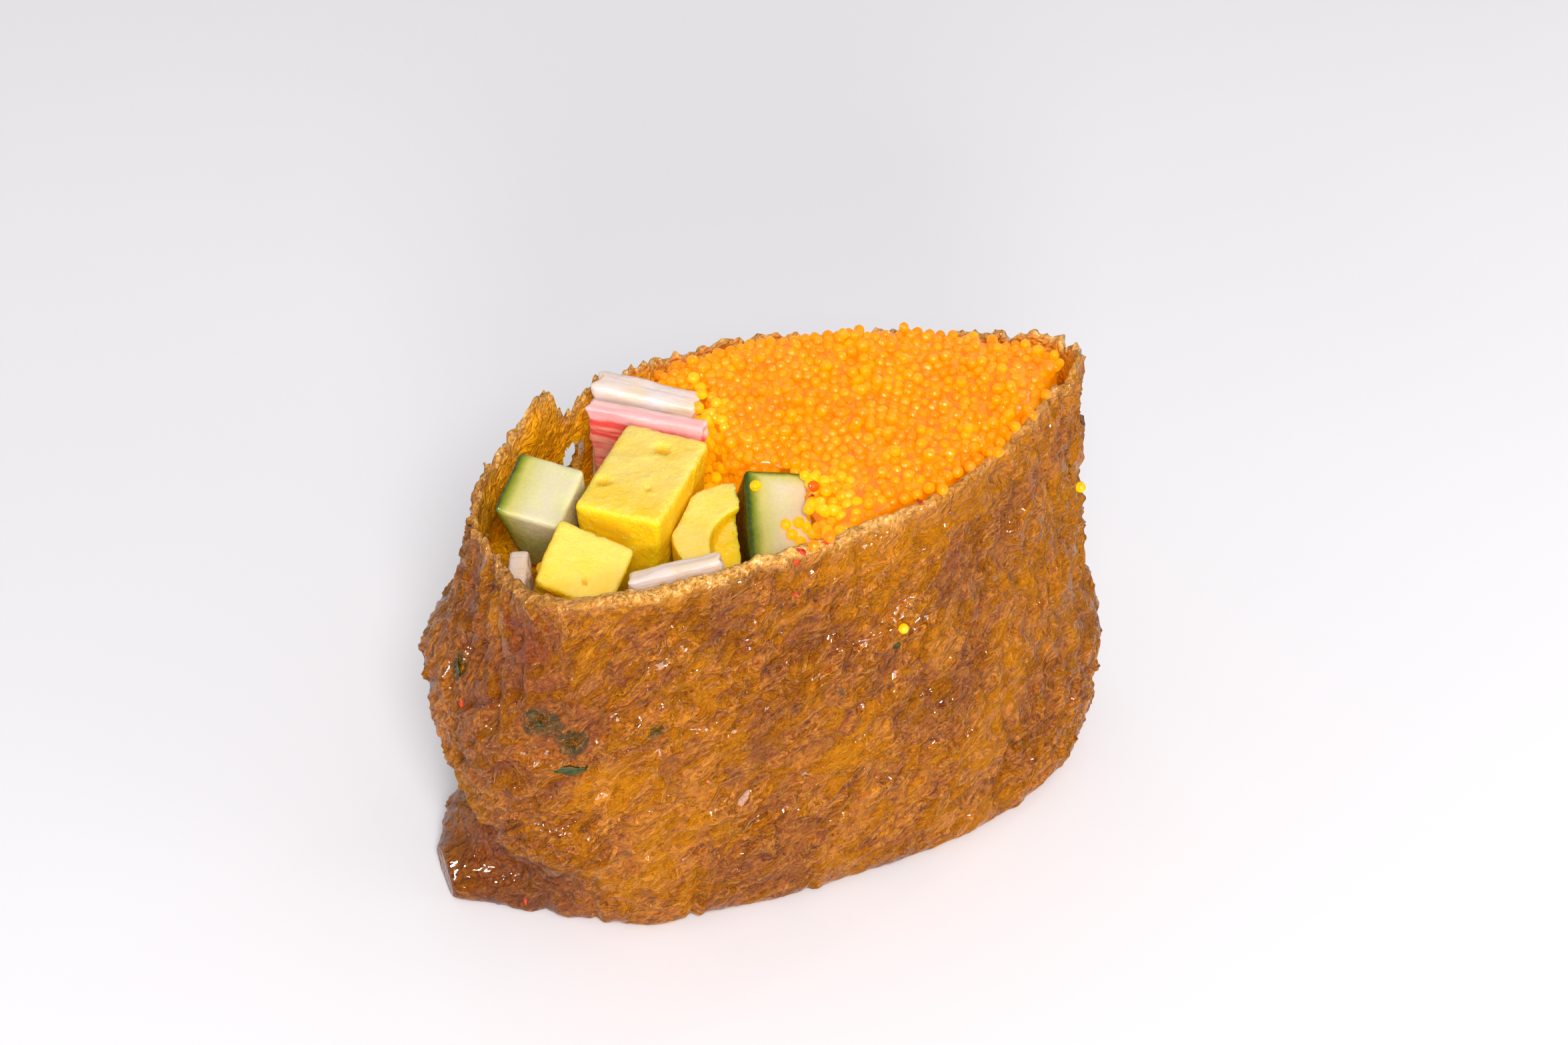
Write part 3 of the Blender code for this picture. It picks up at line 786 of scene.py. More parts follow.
def build_topping(node, look):
    voxel, large, small, ragged = CUTS[node]
    points, normals, faces = finely_divided(node, voxel, 3)
    middle, axes = dice_axes(node)
    local = (points - middle) @ axes.T
    half = np.abs(local[:, :2]).max(axis=0)
    uneven = large * noise_at(points / 2.7, 3.0) + small * noise_at(points / 0.65, 4.0)
    points = points + normals * uneven[:, None]
    if ragged:
        at_end = ramp(np.abs(local[:, 0]) / half[0], 0.86, 1.0)
        pull = ragged * (noise_at(local / FIBRE_SIZES, 5.0) - 0.3)
        points = points + axes[0] * (np.sign(local[:, 0]) * at_end * pull)[:, None]
    pitted = np.zeros(len(points))
    for x, y, radius, depth in PITS:
        away = np.hypot(points[:, 0] - x, points[:, 1] - y) * (1.0 + 0.3 * noise_at(points / 0.8, 6.0))
        pit = (1.0 - ramp(away, radius * 0.5, radius * 1.15)) * (local[:, 2] > -1.0)
        points = points - axes[2] * (depth * pit)[:, None]
        pitted = np.maximum(pitted, pit)
    # Painted light and shade in part: faces that look up (lit) are coloured paler, and the sides below the
    # top, with the streaked front of the long block's top (rich), deeper.
    lit = np.clip(normals @ axes[2], 0, 1)
    rich = ramp(-local[:, 2], 0.5, 1.6)
    if node == "omelette_long":
        rich = np.maximum(rich, 0.8 * ramp(-local[:, 1] + 1.5 * noise_at(points / 2.0, 9.0), 0.5, 5.5))
    # Painted shade over the whole short block, with the pits' darker colour.
    if node == "omelette_short":
        pitted = np.maximum(pitted, SHORT_SHADE)
    mesh = mesh_of("topping_" + node, points, faces, right=local[:, 0] * MM, back=local[:, 1] * MM,
                   up=local[:, 2] * MM, top=lit, rich=rich, pitted=pitted)
    return as_piece("topping_" + node, mesh, look, [node])


def omelette_look(settings):
    look, tree, shader = new_look("rolled_omelette")
    place = object_place(tree)
    top = point_value(tree, "top")
    grain = placed(tree, fine_grain(), place, Size=0.5, Fineness=0.5)
    cloud = noise_value(tree, place, 3.5, 3.0, 0.55)
    # Painted light and shade in part: the top is paler and the sides deeper and more saturated.
    paler = maths(tree, "MULTIPLY", spread(tree, top, 0.35, 0.9), spread(tree, cloud, 0.25, 0.6, 0.45, 1.0))
    colour = blend_colour(tree, paler, settings.omelette_side, settings.omelette_top)
    streaks = spread(tree, noise_value(tree, place, 0.9, 4.0, 0.6, 1.0), 0.38, 0.62, 0.35, 1.0)
    colour = blend_colour(tree, maths(tree, "MULTIPLY", point_value(tree, "rich"), streaks), colour,
                          settings.omelette_side)
    specks = spread(tree, noise_value(tree, place, 0.5, 2.0), 0.62, 0.74, 0.0, 0.35)
    colour = blend_colour(tree, specks, colour, (1.0, 0.86, 0.36, 1.0))
    colour = blend_colour(tree, point_value(tree, "pitted"), colour, settings.omelette_pit_and_shade)
    rough = spread(tree, grain, 0.3, 0.7, 0.30, 0.55)
    pores = maths(tree, "ADD", grain, noise_value(tree, place, 1.1, 3.0, 0.6, 0.6))
    normal = bumped(tree, pores, 0.22)
    joined(tree, shader, Base_Color=colour, Roughness=rough, Normal=normal, Subsurface_Weight=0.7,
           Subsurface_Radius=(1.0, 0.75, 0.12), Subsurface_Scale=2.2 * MM, IOR=1.4,
           Specular_Tint=(1.0, 0.85, 0.40, 1.0))
    return look


def cucumber_look(settings, name, skin_back):
    """Cucumber flesh with its skin on the left face, and on the back face too where skin_back is above 0."""
    look, tree, shader = new_look(name)
    place = object_place(tree)
    box_left, box_back = settings["left"] * MM, settings["back"] * MM
    from_left = maths(tree, "SUBTRACT", point_value(tree, "right"), box_left)
    if skin_back:
        from_back = maths(tree, "SUBTRACT", box_back, point_value(tree, "back"))
        from_back = maths(tree, "MULTIPLY", from_back, skin_back)
        from_left = maths(tree, "SMOOTH_MIN", from_left, from_back)
        tree.nodes[-1].inputs[2].default_value = 0.3 * MM
    wavy = maths(tree, "SUBTRACT", noise_value(tree, place, 1.6, 2.0), 0.5)
    depth = maths(tree, "ADD", from_left, maths(tree, "MULTIPLY", wavy, 0.5 * MM))
    veins = noise_value(tree, place, 2.6, 3.0, 0.5, 0.4)
    flesh = blend_colour(tree, spread(tree, veins, 0.35, 0.65), settings["flesh"], settings["flesh_dark"])
    # Painted shade: the flesh is darker and greener towards the bottom of each piece, deep in the pouch.
    low = spread(tree, point_value(tree, "up"), -6.0 * MM, -1.0 * MM)
    flesh = blend_colour(tree, low, settings["flesh_low"], flesh)
    colour = blend_colour(tree, spread(tree, depth, 0.7 * MM, 4.2 * MM), settings["rind"], flesh)
    colour = blend_colour(tree, spread(tree, depth, 0.5 * MM, 1.7 * MM), settings["under"], colour)
    colour = blend_colour(tree, spread(tree, depth, 0.15 * MM, 0.75 * MM), settings["skin"], colour)
    grain = placed(tree, fine_grain(), place, Size=0.45, Fineness=0.45)
    fleshy = spread(tree, depth, 0.3 * MM, 0.9 * MM)
    normal = bumped(tree, maths(tree, "MULTIPLY", grain, fleshy), 0.09)
    rough = spread(tree, grain, 0.3, 0.7, 0.16, 0.38)
    joined(tree, shader, Base_Color=colour, Roughness=rough, Normal=normal, Subsurface_Weight=0.35,
           Subsurface_Radius=(0.9, 1.0, 0.5), Subsurface_Scale=1.5 * MM, IOR=1.36)
    return look


def crab_look(settings, name, red):
    """Fibrous fish cake; red is how much of its front face is painted red."""
    look, tree, shader = new_look(name)
    place = object_place(tree)
    up, back = point_value(tree, "up"), point_value(tree, "back")
    drawn_out = maths(tree, "MULTIPLY", point_value(tree, "right"), 0.12)
    layers = add_node(tree, "ShaderNodeCombineXYZ", {"X": drawn_out, "Y": back, "Z": up})
    strands = noise_value(tree, layers.outputs[0], 0.7, 3.0, 0.6)
    cloud = noise_value(tree, place, 3.0, 3.0)
    colour = blend_colour(tree, spread(tree, cloud, 0.3, 0.7), settings.crab_white, settings.crab_shade)
    # Painted shade: each piece is blended towards the shade colour towards its bottom.
    low = spread(tree, up, -9.0 * MM, -2.0 * MM, 0.65, 0.0)
    colour = blend_colour(tree, low, colour, settings.crab_shade)
    if red:
        front = spread(tree, back, -0.45 * MM, 0.1 * MM, 1.0, 0.0)
        streak = spread(tree, strands, 0.36, 0.60)
        painted = blend_colour(tree, streak, settings.crab_red, settings.crab_pink)
        height = maths(tree, "ADD", up, maths(tree, "MULTIPLY", cloud, 1.6 * MM))
        band = spread(tree, height, -1.9 * MM, -1.3 * MM, 0.0, 0.85)
        painted = blend_colour(tree, band, painted, settings.crab_red)
        brim = spread(tree, height, -0.9 * MM, -0.3 * MM, 0.0, 0.90)
        painted = blend_colour(tree, brim, painted, settings.crab_blush)
        near_top = spread(tree, up, -1.2 * MM, -0.1 * MM, 0.0, 0.55)
        colour = blend_colour(tree, near_top, colour, settings.crab_blush)
        colour = blend_colour(tree, maths(tree, "MULTIPLY", front, red), colour, painted)
    normal = bumped(tree, strands, 0.16)
    normal = bumped(tree, placed(tree, fine_grain(), place, Size=0.5, Fineness=0.4), 0.06, normal)
    joined(tree, shader, Base_Color=colour, Roughness=0.36, Normal=normal, Subsurface_Weight=0.4,
           Subsurface_Radius=(1.0, 0.75, 0.6), Subsurface_Scale=1.2 * MM, IOR=1.38)
    return look


# ---- roe ----------------------------------------------------------------------------------------

BEAD_STEPS = 2              # divisions of a bead's ball
BEAD_LIMIT = 2400           # beads that one piece may hold
SKY_Z = 60.0                # from where loose eggs and flecks drop onto what is under them
SLICE_FEEL_Z = 80.0         # from where the top of the cucumber slice is felt for
EASING_STEPS = 14           # how often crowded eggs are pushed apart
OVERHEAD = 14.0             # an egg with something this near above it is left out
OPEN_SIDE = (-0.55, -0.35, 0.76)    # up and out at the heap's open end
SLICE_CLEAR = 0.9           # how far the heap is kept under the top of the cucumber slice beside it
SLICE_BACK = -3.2           # and behind this line it lies over the slice
LIGHT_SIDE = (-0.1, -0.5, 0.85)     # where most of the light comes from
# Clusters of golden eggs in the heap: x, y, width in x and in y, and strength.
GOLDEN_CLUSTERS = ((-5.2, 8.5, 1.9, 3.5, 1.35), (1.5, -8.5, 3.0, 4.5, 1.3))


def open_to_view(others, place):
    """True if nothing stands above a place or leans over it from the open end."""
    start = Vector(place)
    for way in ((0.0, 0.0, 1.0), OPEN_SIDE):
        if all(tree.ray_cast(start, Vector(way), OVERHEAD)[0] is None for tree in others):
            return True
    return False


def height_over(tree, place):
    """How far a place is above the top face straight under or over it, or minus infinity where none is."""
    spot, normal, _, _ = tree.ray_cast(Vector((place[0], place[1], SLICE_FEEL_Z)), Vector(DOWN))
    return place[2] - spot.z if spot is not None and normal.z > 0.7 else -math.inf


def scattered(rng, spacing):
    """Places tried at random over the open faces of the heap, and how many eggs these can hold."""
    mesh = welded("roe")
    bmesh.ops.triangulate(mesh, faces=mesh.faces)
    corners = np.array([[vert.co[:] for vert in face.verts] for face in mesh.faces])
    mesh.free()
    cross = np.cross(corners[:, 1] - corners[:, 0], corners[:, 2] - corners[:, 0])
    areas = np.linalg.norm(cross, axis=1) / 2
    normals = cross / (2 * areas[:, None])
    kept = (normals[:, 2] > 0.3) | (normals[:, 0] < -0.55)
    corners, areas = corners[kept], areas[kept]
    count = int(areas.sum() / spacing**2 * 9)
    chosen = rng.choice(len(areas), count, p=areas / areas.sum())
    one, two = rng.random((2, count))
    folded = one + two > 1
    one[folded], two[folded] = 1 - one[folded], 1 - two[folded]
    tried = (corners[chosen, 0] + (corners[chosen, 1] - corners[chosen, 0]) * one[:, None]
             + (corners[chosen, 2] - corners[chosen, 0]) * two[:, None])
    return tried, int(areas.sum() / (0.866 * spacing**2))


def heap_samples(tree, rng, spacing, inset):
    """Places spread evenly over the open faces of the heap, and the directions away from it."""
    tried, limit = scattered(rng, spacing)
    others = [surface_of(name) for name in frame["nodes"] if name != "roe"]
    slice_top = surface_of("cucumber_right")
    cells, places = {}, []
    for spot in tried:
        key = tuple((spot // spacing).astype(int))
        near = [place for x in (-1, 0, 1) for y in (-1, 0, 1) for z in (-1, 0, 1)
                for place in cells.get((key[0] + x, key[1] + y, key[2] + z), ())]
        if any(((place - spot) ** 2).sum() < (0.80 * spacing) ** 2 for place in near):
            continue
        cells.setdefault(key, []).append(spot)
        places.append(spot)
        if len(places) >= limit:
            break
    places = eased_apart(tree, np.array(places), spacing)
    found = [tree.find_nearest(Vector(place)) for place in places]
    places = np.array([hit[0][:] for hit in found])
    normals = np.array([hit[1][:] for hit in found])
    seen = np.array([open_to_view(others, place + 0.5 * normal) for place, normal in zip(places, normals)])
    seen &= np.array([place[1] > SLICE_BACK or height_over(slice_top, place) < -SLICE_CLEAR
                      for place in places])
    return places[seen] - normals[seen] * inset, normals[seen]


def eased_apart(tree, places, spacing):
    """Pushes crowded places apart along the heap's surface."""
    for _ in range(EASING_STEPS):
        finder = finder_of(places)
        moved = places.copy()
        for index, place in enumerate(places):
            for other, number, distance in finder.find_range(place, spacing):
                if number != index:
                    away = (place - np.array(other[:])) / max(distance, 0.05)
                    moved[index] += away * (spacing - distance) * 0.4
        places = np.array([tree.find_nearest(Vector(place))[0][:] for place in moved])
    return places


def beads_mesh(name, places, radii, tones, rng):
    """One mesh of many balls, each a little uneven. Every point has its ball's tone, and a painted light
    value that is strongest low on the ball, away from LIGHT_SIDE, standing for the light a clear egg gathers
    there."""
    corners, sides = ball_of(BEAD_STEPS, 1.0)
    lit_from = np.array(LIGHT_SIDE) / np.linalg.norm(LIGHT_SIDE)
    # Painted light: low is 1 on the side of each ball away from LIGHT_SIDE, where the eggs are coloured
    # lighter.
    low = np.clip(0.5 - 0.5 * corners @ lit_from, 0, 1)
    points, faces = [], []
    for number, (place, radius) in enumerate(zip(places, radii)):
        squash = 1.0 + rng.normal(0.0, 0.035, 3)
        points.append(place + corners * squash * radius)
        faces.append(sides + number * len(corners))
    return mesh_of(name, np.concatenate(points), np.concatenate(faces).tolist(),
                   tone=np.repeat(tones, len(corners)), low=np.tile(low, len(places)))


def roe_look(name, settings, low, high):
    look, tree, shader = new_look(name)
    tone = point_value(tree, "tone")
    colour = blend_colour(tree, tone, low, high)
    # Painted light: each egg's low side is blended towards its lighter colour as a bright crescent.
    colour = blend_colour(tree, spread(tree, point_value(tree, "low"), 0.35, 0.8, 0.0, 0.6), colour, high)
    cloud = noise_value(tree, object_place(tree), 3.0, 3.0)
    colour = blend_colour(tree, spread(tree, cloud, 0.45, 0.70, 0.0, 0.45), colour, settings.roe_deep)
    # Painted glow: the eggs emit their own colour, standing for light scattered inside them.
    joined(tree, shader, Base_Color=colour, Roughness=0.05, Subsurface_Weight=1.0,
           Subsurface_Radius=(1.0, 0.5, 0.05), Subsurface_Scale=2.0 * MM, IOR=1.40, Transmission_Weight=0.5,
           Specular_Tint=(1.0, 0.88, 0.50, 1.0), Emission_Color=colour, Emission_Strength=settings.painted_glow)
    return look


GOLDEN_EGG, ORANGE_EGG, RED_EGG = range(3)
# Eggs that lie apart from the heap, in the order in which they drop: x, y and kind. Each rests on what is
# under it.
STRAY_BEADS = (
    *((x, y, GOLDEN_EGG) for x, y in (
        (-1.95, -8.03), (-0.59, -7.96), (0.07, -8.5), (-1.64, -8.97), (-0.98, -9.7), (1.06, -8.09),
        (1.78, -8.46), (1.57, -4.55), (2.13, -5.4), (2.65, -7.6), (1.05, -9.13), (1.82, -9.38), (0.9, -10.2),
        (2.9, -6.4), (0.1, -10.9), (-3.89, -4.25), (-5.67, 8.75), (-5.0, 9.8), (-5.1, 8.4))),
    (1.75, -6.3, RED_EGG),
    *((x, y, ORANGE_EGG) for x, y in (
        (-2.2, -16.4), (-0.5, -16.0), (-6.6, 13.2), (-7.4, 13.9), (-6.9, 14.6), (-8.2, 14.7), (-7.8, 13.0),
        (-6.0, 14.2))),
)
# Eggs stuck on upright faces: the place they are pushed from, which way, and their kind.
STUCK_BEADS = (
    ((7.6, -60.0, 32.8), (0.0, 1.0, 0.0), GOLDEN_EGG), ((60.0, 0.3, 31.2), (-1.0, 0.0, 0.0), GOLDEN_EGG),
    ((-25.2, -5.0, 38.4), (0.0, 1.0, 0.0), GOLDEN_EGG),
)
# Eggs spilled along the near edge: the turns they lie between, how many, and how far in or out they lie.
SPILL_TURNS, SPILL_COUNT, SPILL_REACH = (0.335, 0.475), 60, (-2.0, 0.25)


def heap_beads(size, rng):
    """Where the eggs of the heap's outer layer lie, with those that lie loose on it in clumps."""
    upper, normals = heap_samples(surface_of("roe"), rng, size * 0.97, size * 0.45)
    upper = upper + normals * rng.normal(0.0, size * 0.10, len(upper))[:, None]
    finder = finder_of(upper)
    loose = []
    clumps = noise_at(upper / 4.0, 12.0)
    for index in rng.permutation(len(upper)):
        if rng.random() > 0.10 + 0.55 * max(0.0, clumps[index]):
            continue
        near = [number for _, number, _ in finder.find_n(upper[index], 3)]
        pocket = upper[near].mean(axis=0) + normals[index] * size * 0.70
        if all(np.linalg.norm(pocket - other) > size * 0.93 for other in loose):
            loose.append(pocket)
    loose = np.array(loose)
    ceiling = CAD_BOX[1].z / MM - size / 2
    return np.concatenate((upper, loose[loose[:, 2] < ceiling]))


def build_roe(settings):
    rng = np.random.default_rng(SEED)
    size = settings.bead_size / MM
    heap = heap_beads(size, rng)
    stray, kinds = stray_beads(size, rng)
    yellow = sum(strength * bell(heap[:, 0] - x, width) * bell(heap[:, 1] - y, length)
                 for x, y, width, length, strength in GOLDEN_CLUSTERS)
    golden = yellow + 0.35 * noise_at(heap / 2.0, 14.0) + 0.12 * rng.normal(size=len(heap)) > 0.62
    groups = (
        ("roe_orange", heap[~golden], ORANGE_EGG, settings.roe_orange, settings.roe_amber),
        ("roe_golden", heap[golden], GOLDEN_EGG, settings.roe_golden, settings.roe_yellow),
        ("roe_red", heap[:0], RED_EGG, settings.roe_red, settings.roe_deep),
    )
    for name, places, kind, low, high in groups:
        places = np.concatenate((places, stray[kinds == kind]))[:BEAD_LIMIT]
        radii = size / 2 * (1.0 + np.clip(rng.normal(0.0, 0.05, len(places)), -0.14, 0.12))
        tones = 0.5 + 0.45 * noise_at(places / 3.0, 15.0) + rng.normal(0.0, 0.22, len(places))
        mesh = beads_mesh(name, places, radii, np.clip(tones, 0, 1), rng)
        as_piece(name, mesh, roe_look(name, settings, low, high), [])
    build_core(settings, size)


def build_core(settings, size):
    """The heap under its outer layer of eggs, a little smaller than the whole heap."""
    points, normals, faces = finely_divided("roe", 0.5, 2)
    points = points - normals * size * 0.42
    slice_top = surface_of("cucumber_right")
    over = np.array([height_over(slice_top, point) for point in points])
    over[points[:, 1] > SLICE_BACK] = -math.inf
    points[:, 2] -= np.clip(over + SLICE_CLEAR, 0.0, SLICE_CLEAR * 3.0)
    look, tree, shader = new_look("roe_core")
    # Painted shade and glow: the core is coloured deep orange as shade between the eggs above it, and emits
    # light with the eggs' painted glow.
    cloud = noise_value(tree, object_place(tree), 1.2, 2.0)
    colour = blend_colour(tree, spread(tree, cloud, 0.35, 0.65), settings.roe_deep, settings.roe_orange)
    joined(tree, shader, Base_Color=colour, Roughness=0.25, Subsurface_Weight=0.8,
           Subsurface_Radius=(1.0, 0.4, 0.05), Subsurface_Scale=2.0 * MM, Emission_Color=colour,
           Emission_Strength=settings.painted_glow)
    as_piece("roe_core", mesh_of("roe_core", points, faces), look, ["roe"])


def dressed_surfaces():
    """The finished pieces that a loose egg or a fleck can rest on, in mm."""
    trees = [surface_of("roe")]
    for thing in bpy.data.objects:
        if thing.name == "tofu_pouch" or thing.name.startswith("topping_"):
            points = [vert.co / MM for vert in thing.data.vertices]
            trees.append(BVHTree.FromPolygons(points, [face.vertices[:] for face in thing.data.polygons]))
    return trees


def first_touch(trees, start, way):
    """The spot and the normal where something pushed this way first meets the finished pieces."""
    hits = [tree.ray_cast(Vector(start), Vector(way)) for tree in trees]
    spot, normal, _, _ = min((hit for hit in hits if hit[0] is not None), key=lambda hit: hit[3])
    return np.array(spot[:]), np.array(normal[:])


def stray_beads(size, rng):
    """Where the eggs away from the heap rest, and their kinds."""
    trees = dressed_surfaces()
    pushed = [((x, y, SKY_Z), DOWN, kind) for x, y, kind in STRAY_BEADS] + list(STUCK_BEADS)
    form, wall = PouchForm(), surface_of("pouch")
    for column in rng.uniform(*SPILL_TURNS, SPILL_COUNT) * COLUMNS:
        column = int(column)
        out = form.felt(wall, column, form.rim[column] - RIM_DROP) + rng.uniform(*SPILL_REACH)
        x, y = form.line[column] + form.outward[column] * out
        pushed.append(((x, y, SKY_Z), DOWN, ORANGE_EGG))
    places, kinds = [], []
    for start, way, kind in pushed:
        spot, normal = first_touch(trees, start, way)
        place = spot + normal * size * 0.38
        if all(np.linalg.norm(place - other) > size * 0.6 for other in places):
            places.append(place)
            kinds.append(kind)
    return np.array(places), np.array(kinds)


# ---- glaze --------------------------------------------------------------------------------------

DROP_COUNT = 620
DROP_WIDTHS = (0.45, 0.95)
DROP_SPACING = 0.9
DROP_SUNK = 0.12                # how far a drop lies under the skin, as a share of its width


def build_glaze(settings):
    """Flat drops of clear glaze, gathered in the hollows between the wrinkles of the skin."""
    mesh = bpy.data.objects["tofu_pouch"].data
    values = {}
    for field in ("raised", "cut", "inner"):
        values[field] = np.zeros(len(mesh.vertices), np.float32)
        mesh.attributes[field].data.foreach_get("value", values[field])
    points = np.array([vert.co[:] for vert in mesh.vertices]) / MM
    wet = (values["raised"] < -0.1) & (values["inner"] == 0) & (values["cut"] < 0.3) & (points[:, 2] > 1.5)
    wet &= noise_at(points / 4.0, 61.0) + 0.4 * noise_at(points / 1.5, 62.0) > 0.05
    corners, sides = ball_of(2, 0.5)
    rng = np.random.default_rng(SEED + 1)
    spots, shapes, faces = [], [], []
    for index in rng.permutation(np.nonzero(wet)[0]):
        spot = points[index]
        if any(np.linalg.norm(spot - other) < DROP_SPACING for other in spots):
            continue
        width = rng.uniform(*DROP_WIDTHS) * rng.uniform(0.6, 1.0)
        turned = mesh.vertices[index].normal.to_track_quat("Z", "X").to_matrix()
        turned = turned @ Matrix.Rotation(rng.uniform(0, math.tau), 3, "Z")
        shape = corners * (width, width * rng.uniform(0.6, 0.9), width * 0.8) - (0.0, 0.0, width * DROP_SUNK)
        faces.append(sides + len(spots) * len(corners))
        shapes.append(spot + shape @ np.array(turned).T)
        spots.append(spot)
        if len(spots) == DROP_COUNT:
            break
    look, tree, shader = new_look("clear_glaze")
    joined(tree, shader, Base_Color=settings.glaze_colour, Roughness=0.04, IOR=1.45,
           Transmission_Weight=1.0)
    drops = mesh_of("glaze_drops", np.concatenate(shapes), np.concatenate(faces).tolist())
    return as_piece("glaze_drops", drops, look, [])


# ---- flecks -------------------------------------------------------------------------------------

# Ways in which bits are pushed onto the pouch and the toppings: from the front and from the -X end.
INWARD, ALONG = (0.0, 1.0, 0.0), (1.0, 0.0, 0.0)
# The bits: where they are pushed from, which way, length and width, and roll.
GREEN_FLECKS = (
    ((7.4, -60.0, 30.0), INWARD, 1.9, 0.8, 1.2), ((-27.2, -60.0, 24.6), INWARD, 3.6, 0.9, 1.5),
    ((-60.0, -4.0, 28.8), ALONG, 2.4, 0.8, 1.2), ((-29.9, -60.0, 30.0), INWARD, 1.5, 0.7, 0.4),
)
RED_FLECKS = (
    ((-1.9, -16.3, SKY_Z), DOWN, 1.3, 0.7, 0.3), ((-3.2, -16.7, SKY_Z), DOWN, 1.5, 0.6, 0.8),
    ((-0.6, -16.2, SKY_Z), DOWN, 0.9, 0.6, 1.9), ((-3.9, -60.0, 44.6), INWARD, 1.1, 0.6, 0.7),
    ((-4.1, -60.0, 41.0), INWARD, 1.0, 0.3, 1.2), ((1.2, -7.1, SKY_Z), DOWN, 1.1, 0.7, 1.4),
    ((-60.0, -6.9, 26.3), ALONG, 1.2, 0.5, 0.2), ((-60.0, -5.3, 10.4), ALONG, 0.9, 0.7, 0.9),
    ((-60.0, -12.0, 2.0), ALONG, 1.4, 0.6, 0.4), ((10.5, -12.6, SKY_Z), DOWN, 0.9, 0.5, 0.5),
)
FLECK_THICKNESS = 0.24


def build_flecks(name, flecks, colour):
    """One mesh of small flat bits with uneven outlines, each lying on what it touches."""
    corners, sides = ball_of(3, 0.5)
    trees = dressed_surfaces()
    points, faces = [], []
    for number, (start, way, length, width, roll) in enumerate(flecks):
        spot, normal = first_touch(trees, start, way)
        turned = Vector(normal).to_track_quat("Z", "X").to_matrix() @ Matrix.Rotation(roll, 3, "Z")
        shape = corners * (1.0 + 0.5 * noise_at(corners * 3.0, 20.0 + number))[:, None]
        shape = shape * (length, width, FLECK_THICKNESS)
        shape[:, 2] -= 0.25 * (shape[:, 0] / length) ** 2 * length
        points.append(spot + shape @ np.array(turned).T)
        faces.append(sides + number * len(corners))
    look, tree, shader = new_look(name)
    cloud = noise_value(tree, object_place(tree), 0.5, 2.0)
    dark = (colour[0] * 0.4, colour[1] * 0.4, colour[2] * 0.4, 1.0)
    joined(tree, shader, Base_Color=blend_colour(tree, spread(tree, cloud, 0.35, 0.65), dark, colour),
           Roughness=0.35, IOR=1.3)
    mesh = mesh_of(name, np.concatenate(points), np.concatenate(faces).tolist())
    return as_piece(name, mesh, look, [])


# ---- skin look ----------------------------------------------------------------------------------


def skin_patterns(tree):
    """The skin's noises and the values at its points, and how much of it the matte film covers."""
    at = SimpleNamespace(place=object_place(tree))
    for name in ("raised", "cut", "inner", "sunk", "stain", "net", "golden"):
        setattr(at, name, point_value(tree, name))
    # The wrinkles, and what colours them, are drawn out along one slant.
    drawn = add_node(
        tree, "ShaderNodeMapping",
        {"Vector": at.place, "Rotation": (0.0, -math.radians(SLANT), 0.0), "Scale": (2.1, 1.0, 1.0)},
        vector_type="TEXTURE",
    ).outputs[0]
    at.swirl = noise_value(tree, drawn, 2.4, 5.0, 0.60, 1.9)
    lumps = noise_value(tree, drawn, 1.7, 3.0, 0.55, 1.2)
    at.lumps = maths(tree, "ABSOLUTE", maths(tree, "SUBTRACT", lumps, 0.5))
    flaps = maths(tree, "FRACT", maths(tree, "MULTIPLY", at.swirl, 6.0))
    at.flaps = maths(tree, "MINIMUM", maths(tree, "DIVIDE", flaps, 0.82),
                     maths(tree, "DIVIDE", maths(tree, "SUBTRACT", 1.0, flaps), 0.18))
    at.web = placed(tree, fibre_web(), drawn, Spacing=0.8, Bend=2.2, Thickness=0.07)
    at.grain = placed(tree, fine_grain(), at.place, Size=0.42, Fineness=0.35)
    at.patches = noise_value(tree, at.place, 6.0, 4.0, 0.6, 0.8)
    at.broad = noise_value(tree, at.place, 12.0, 3.0, 0.55, 0.5)

    film = spread(tree, at.swirl, 0.42, 0.60)
    film = maths(tree, "ADD", film, spread(tree, at.patches, 0.38, 0.62, -0.45, 0.30))
    film = maths(tree, "ADD", film, maths(tree, "MULTIPLY", at.raised, 0.25))
    bare = maths(tree, "MULTIPLY", maths(tree, "ADD", at.sunk, at.stain), 0.5)
    at.film = maths(tree, "SUBTRACT", film, bare, clamp=True)
    return at


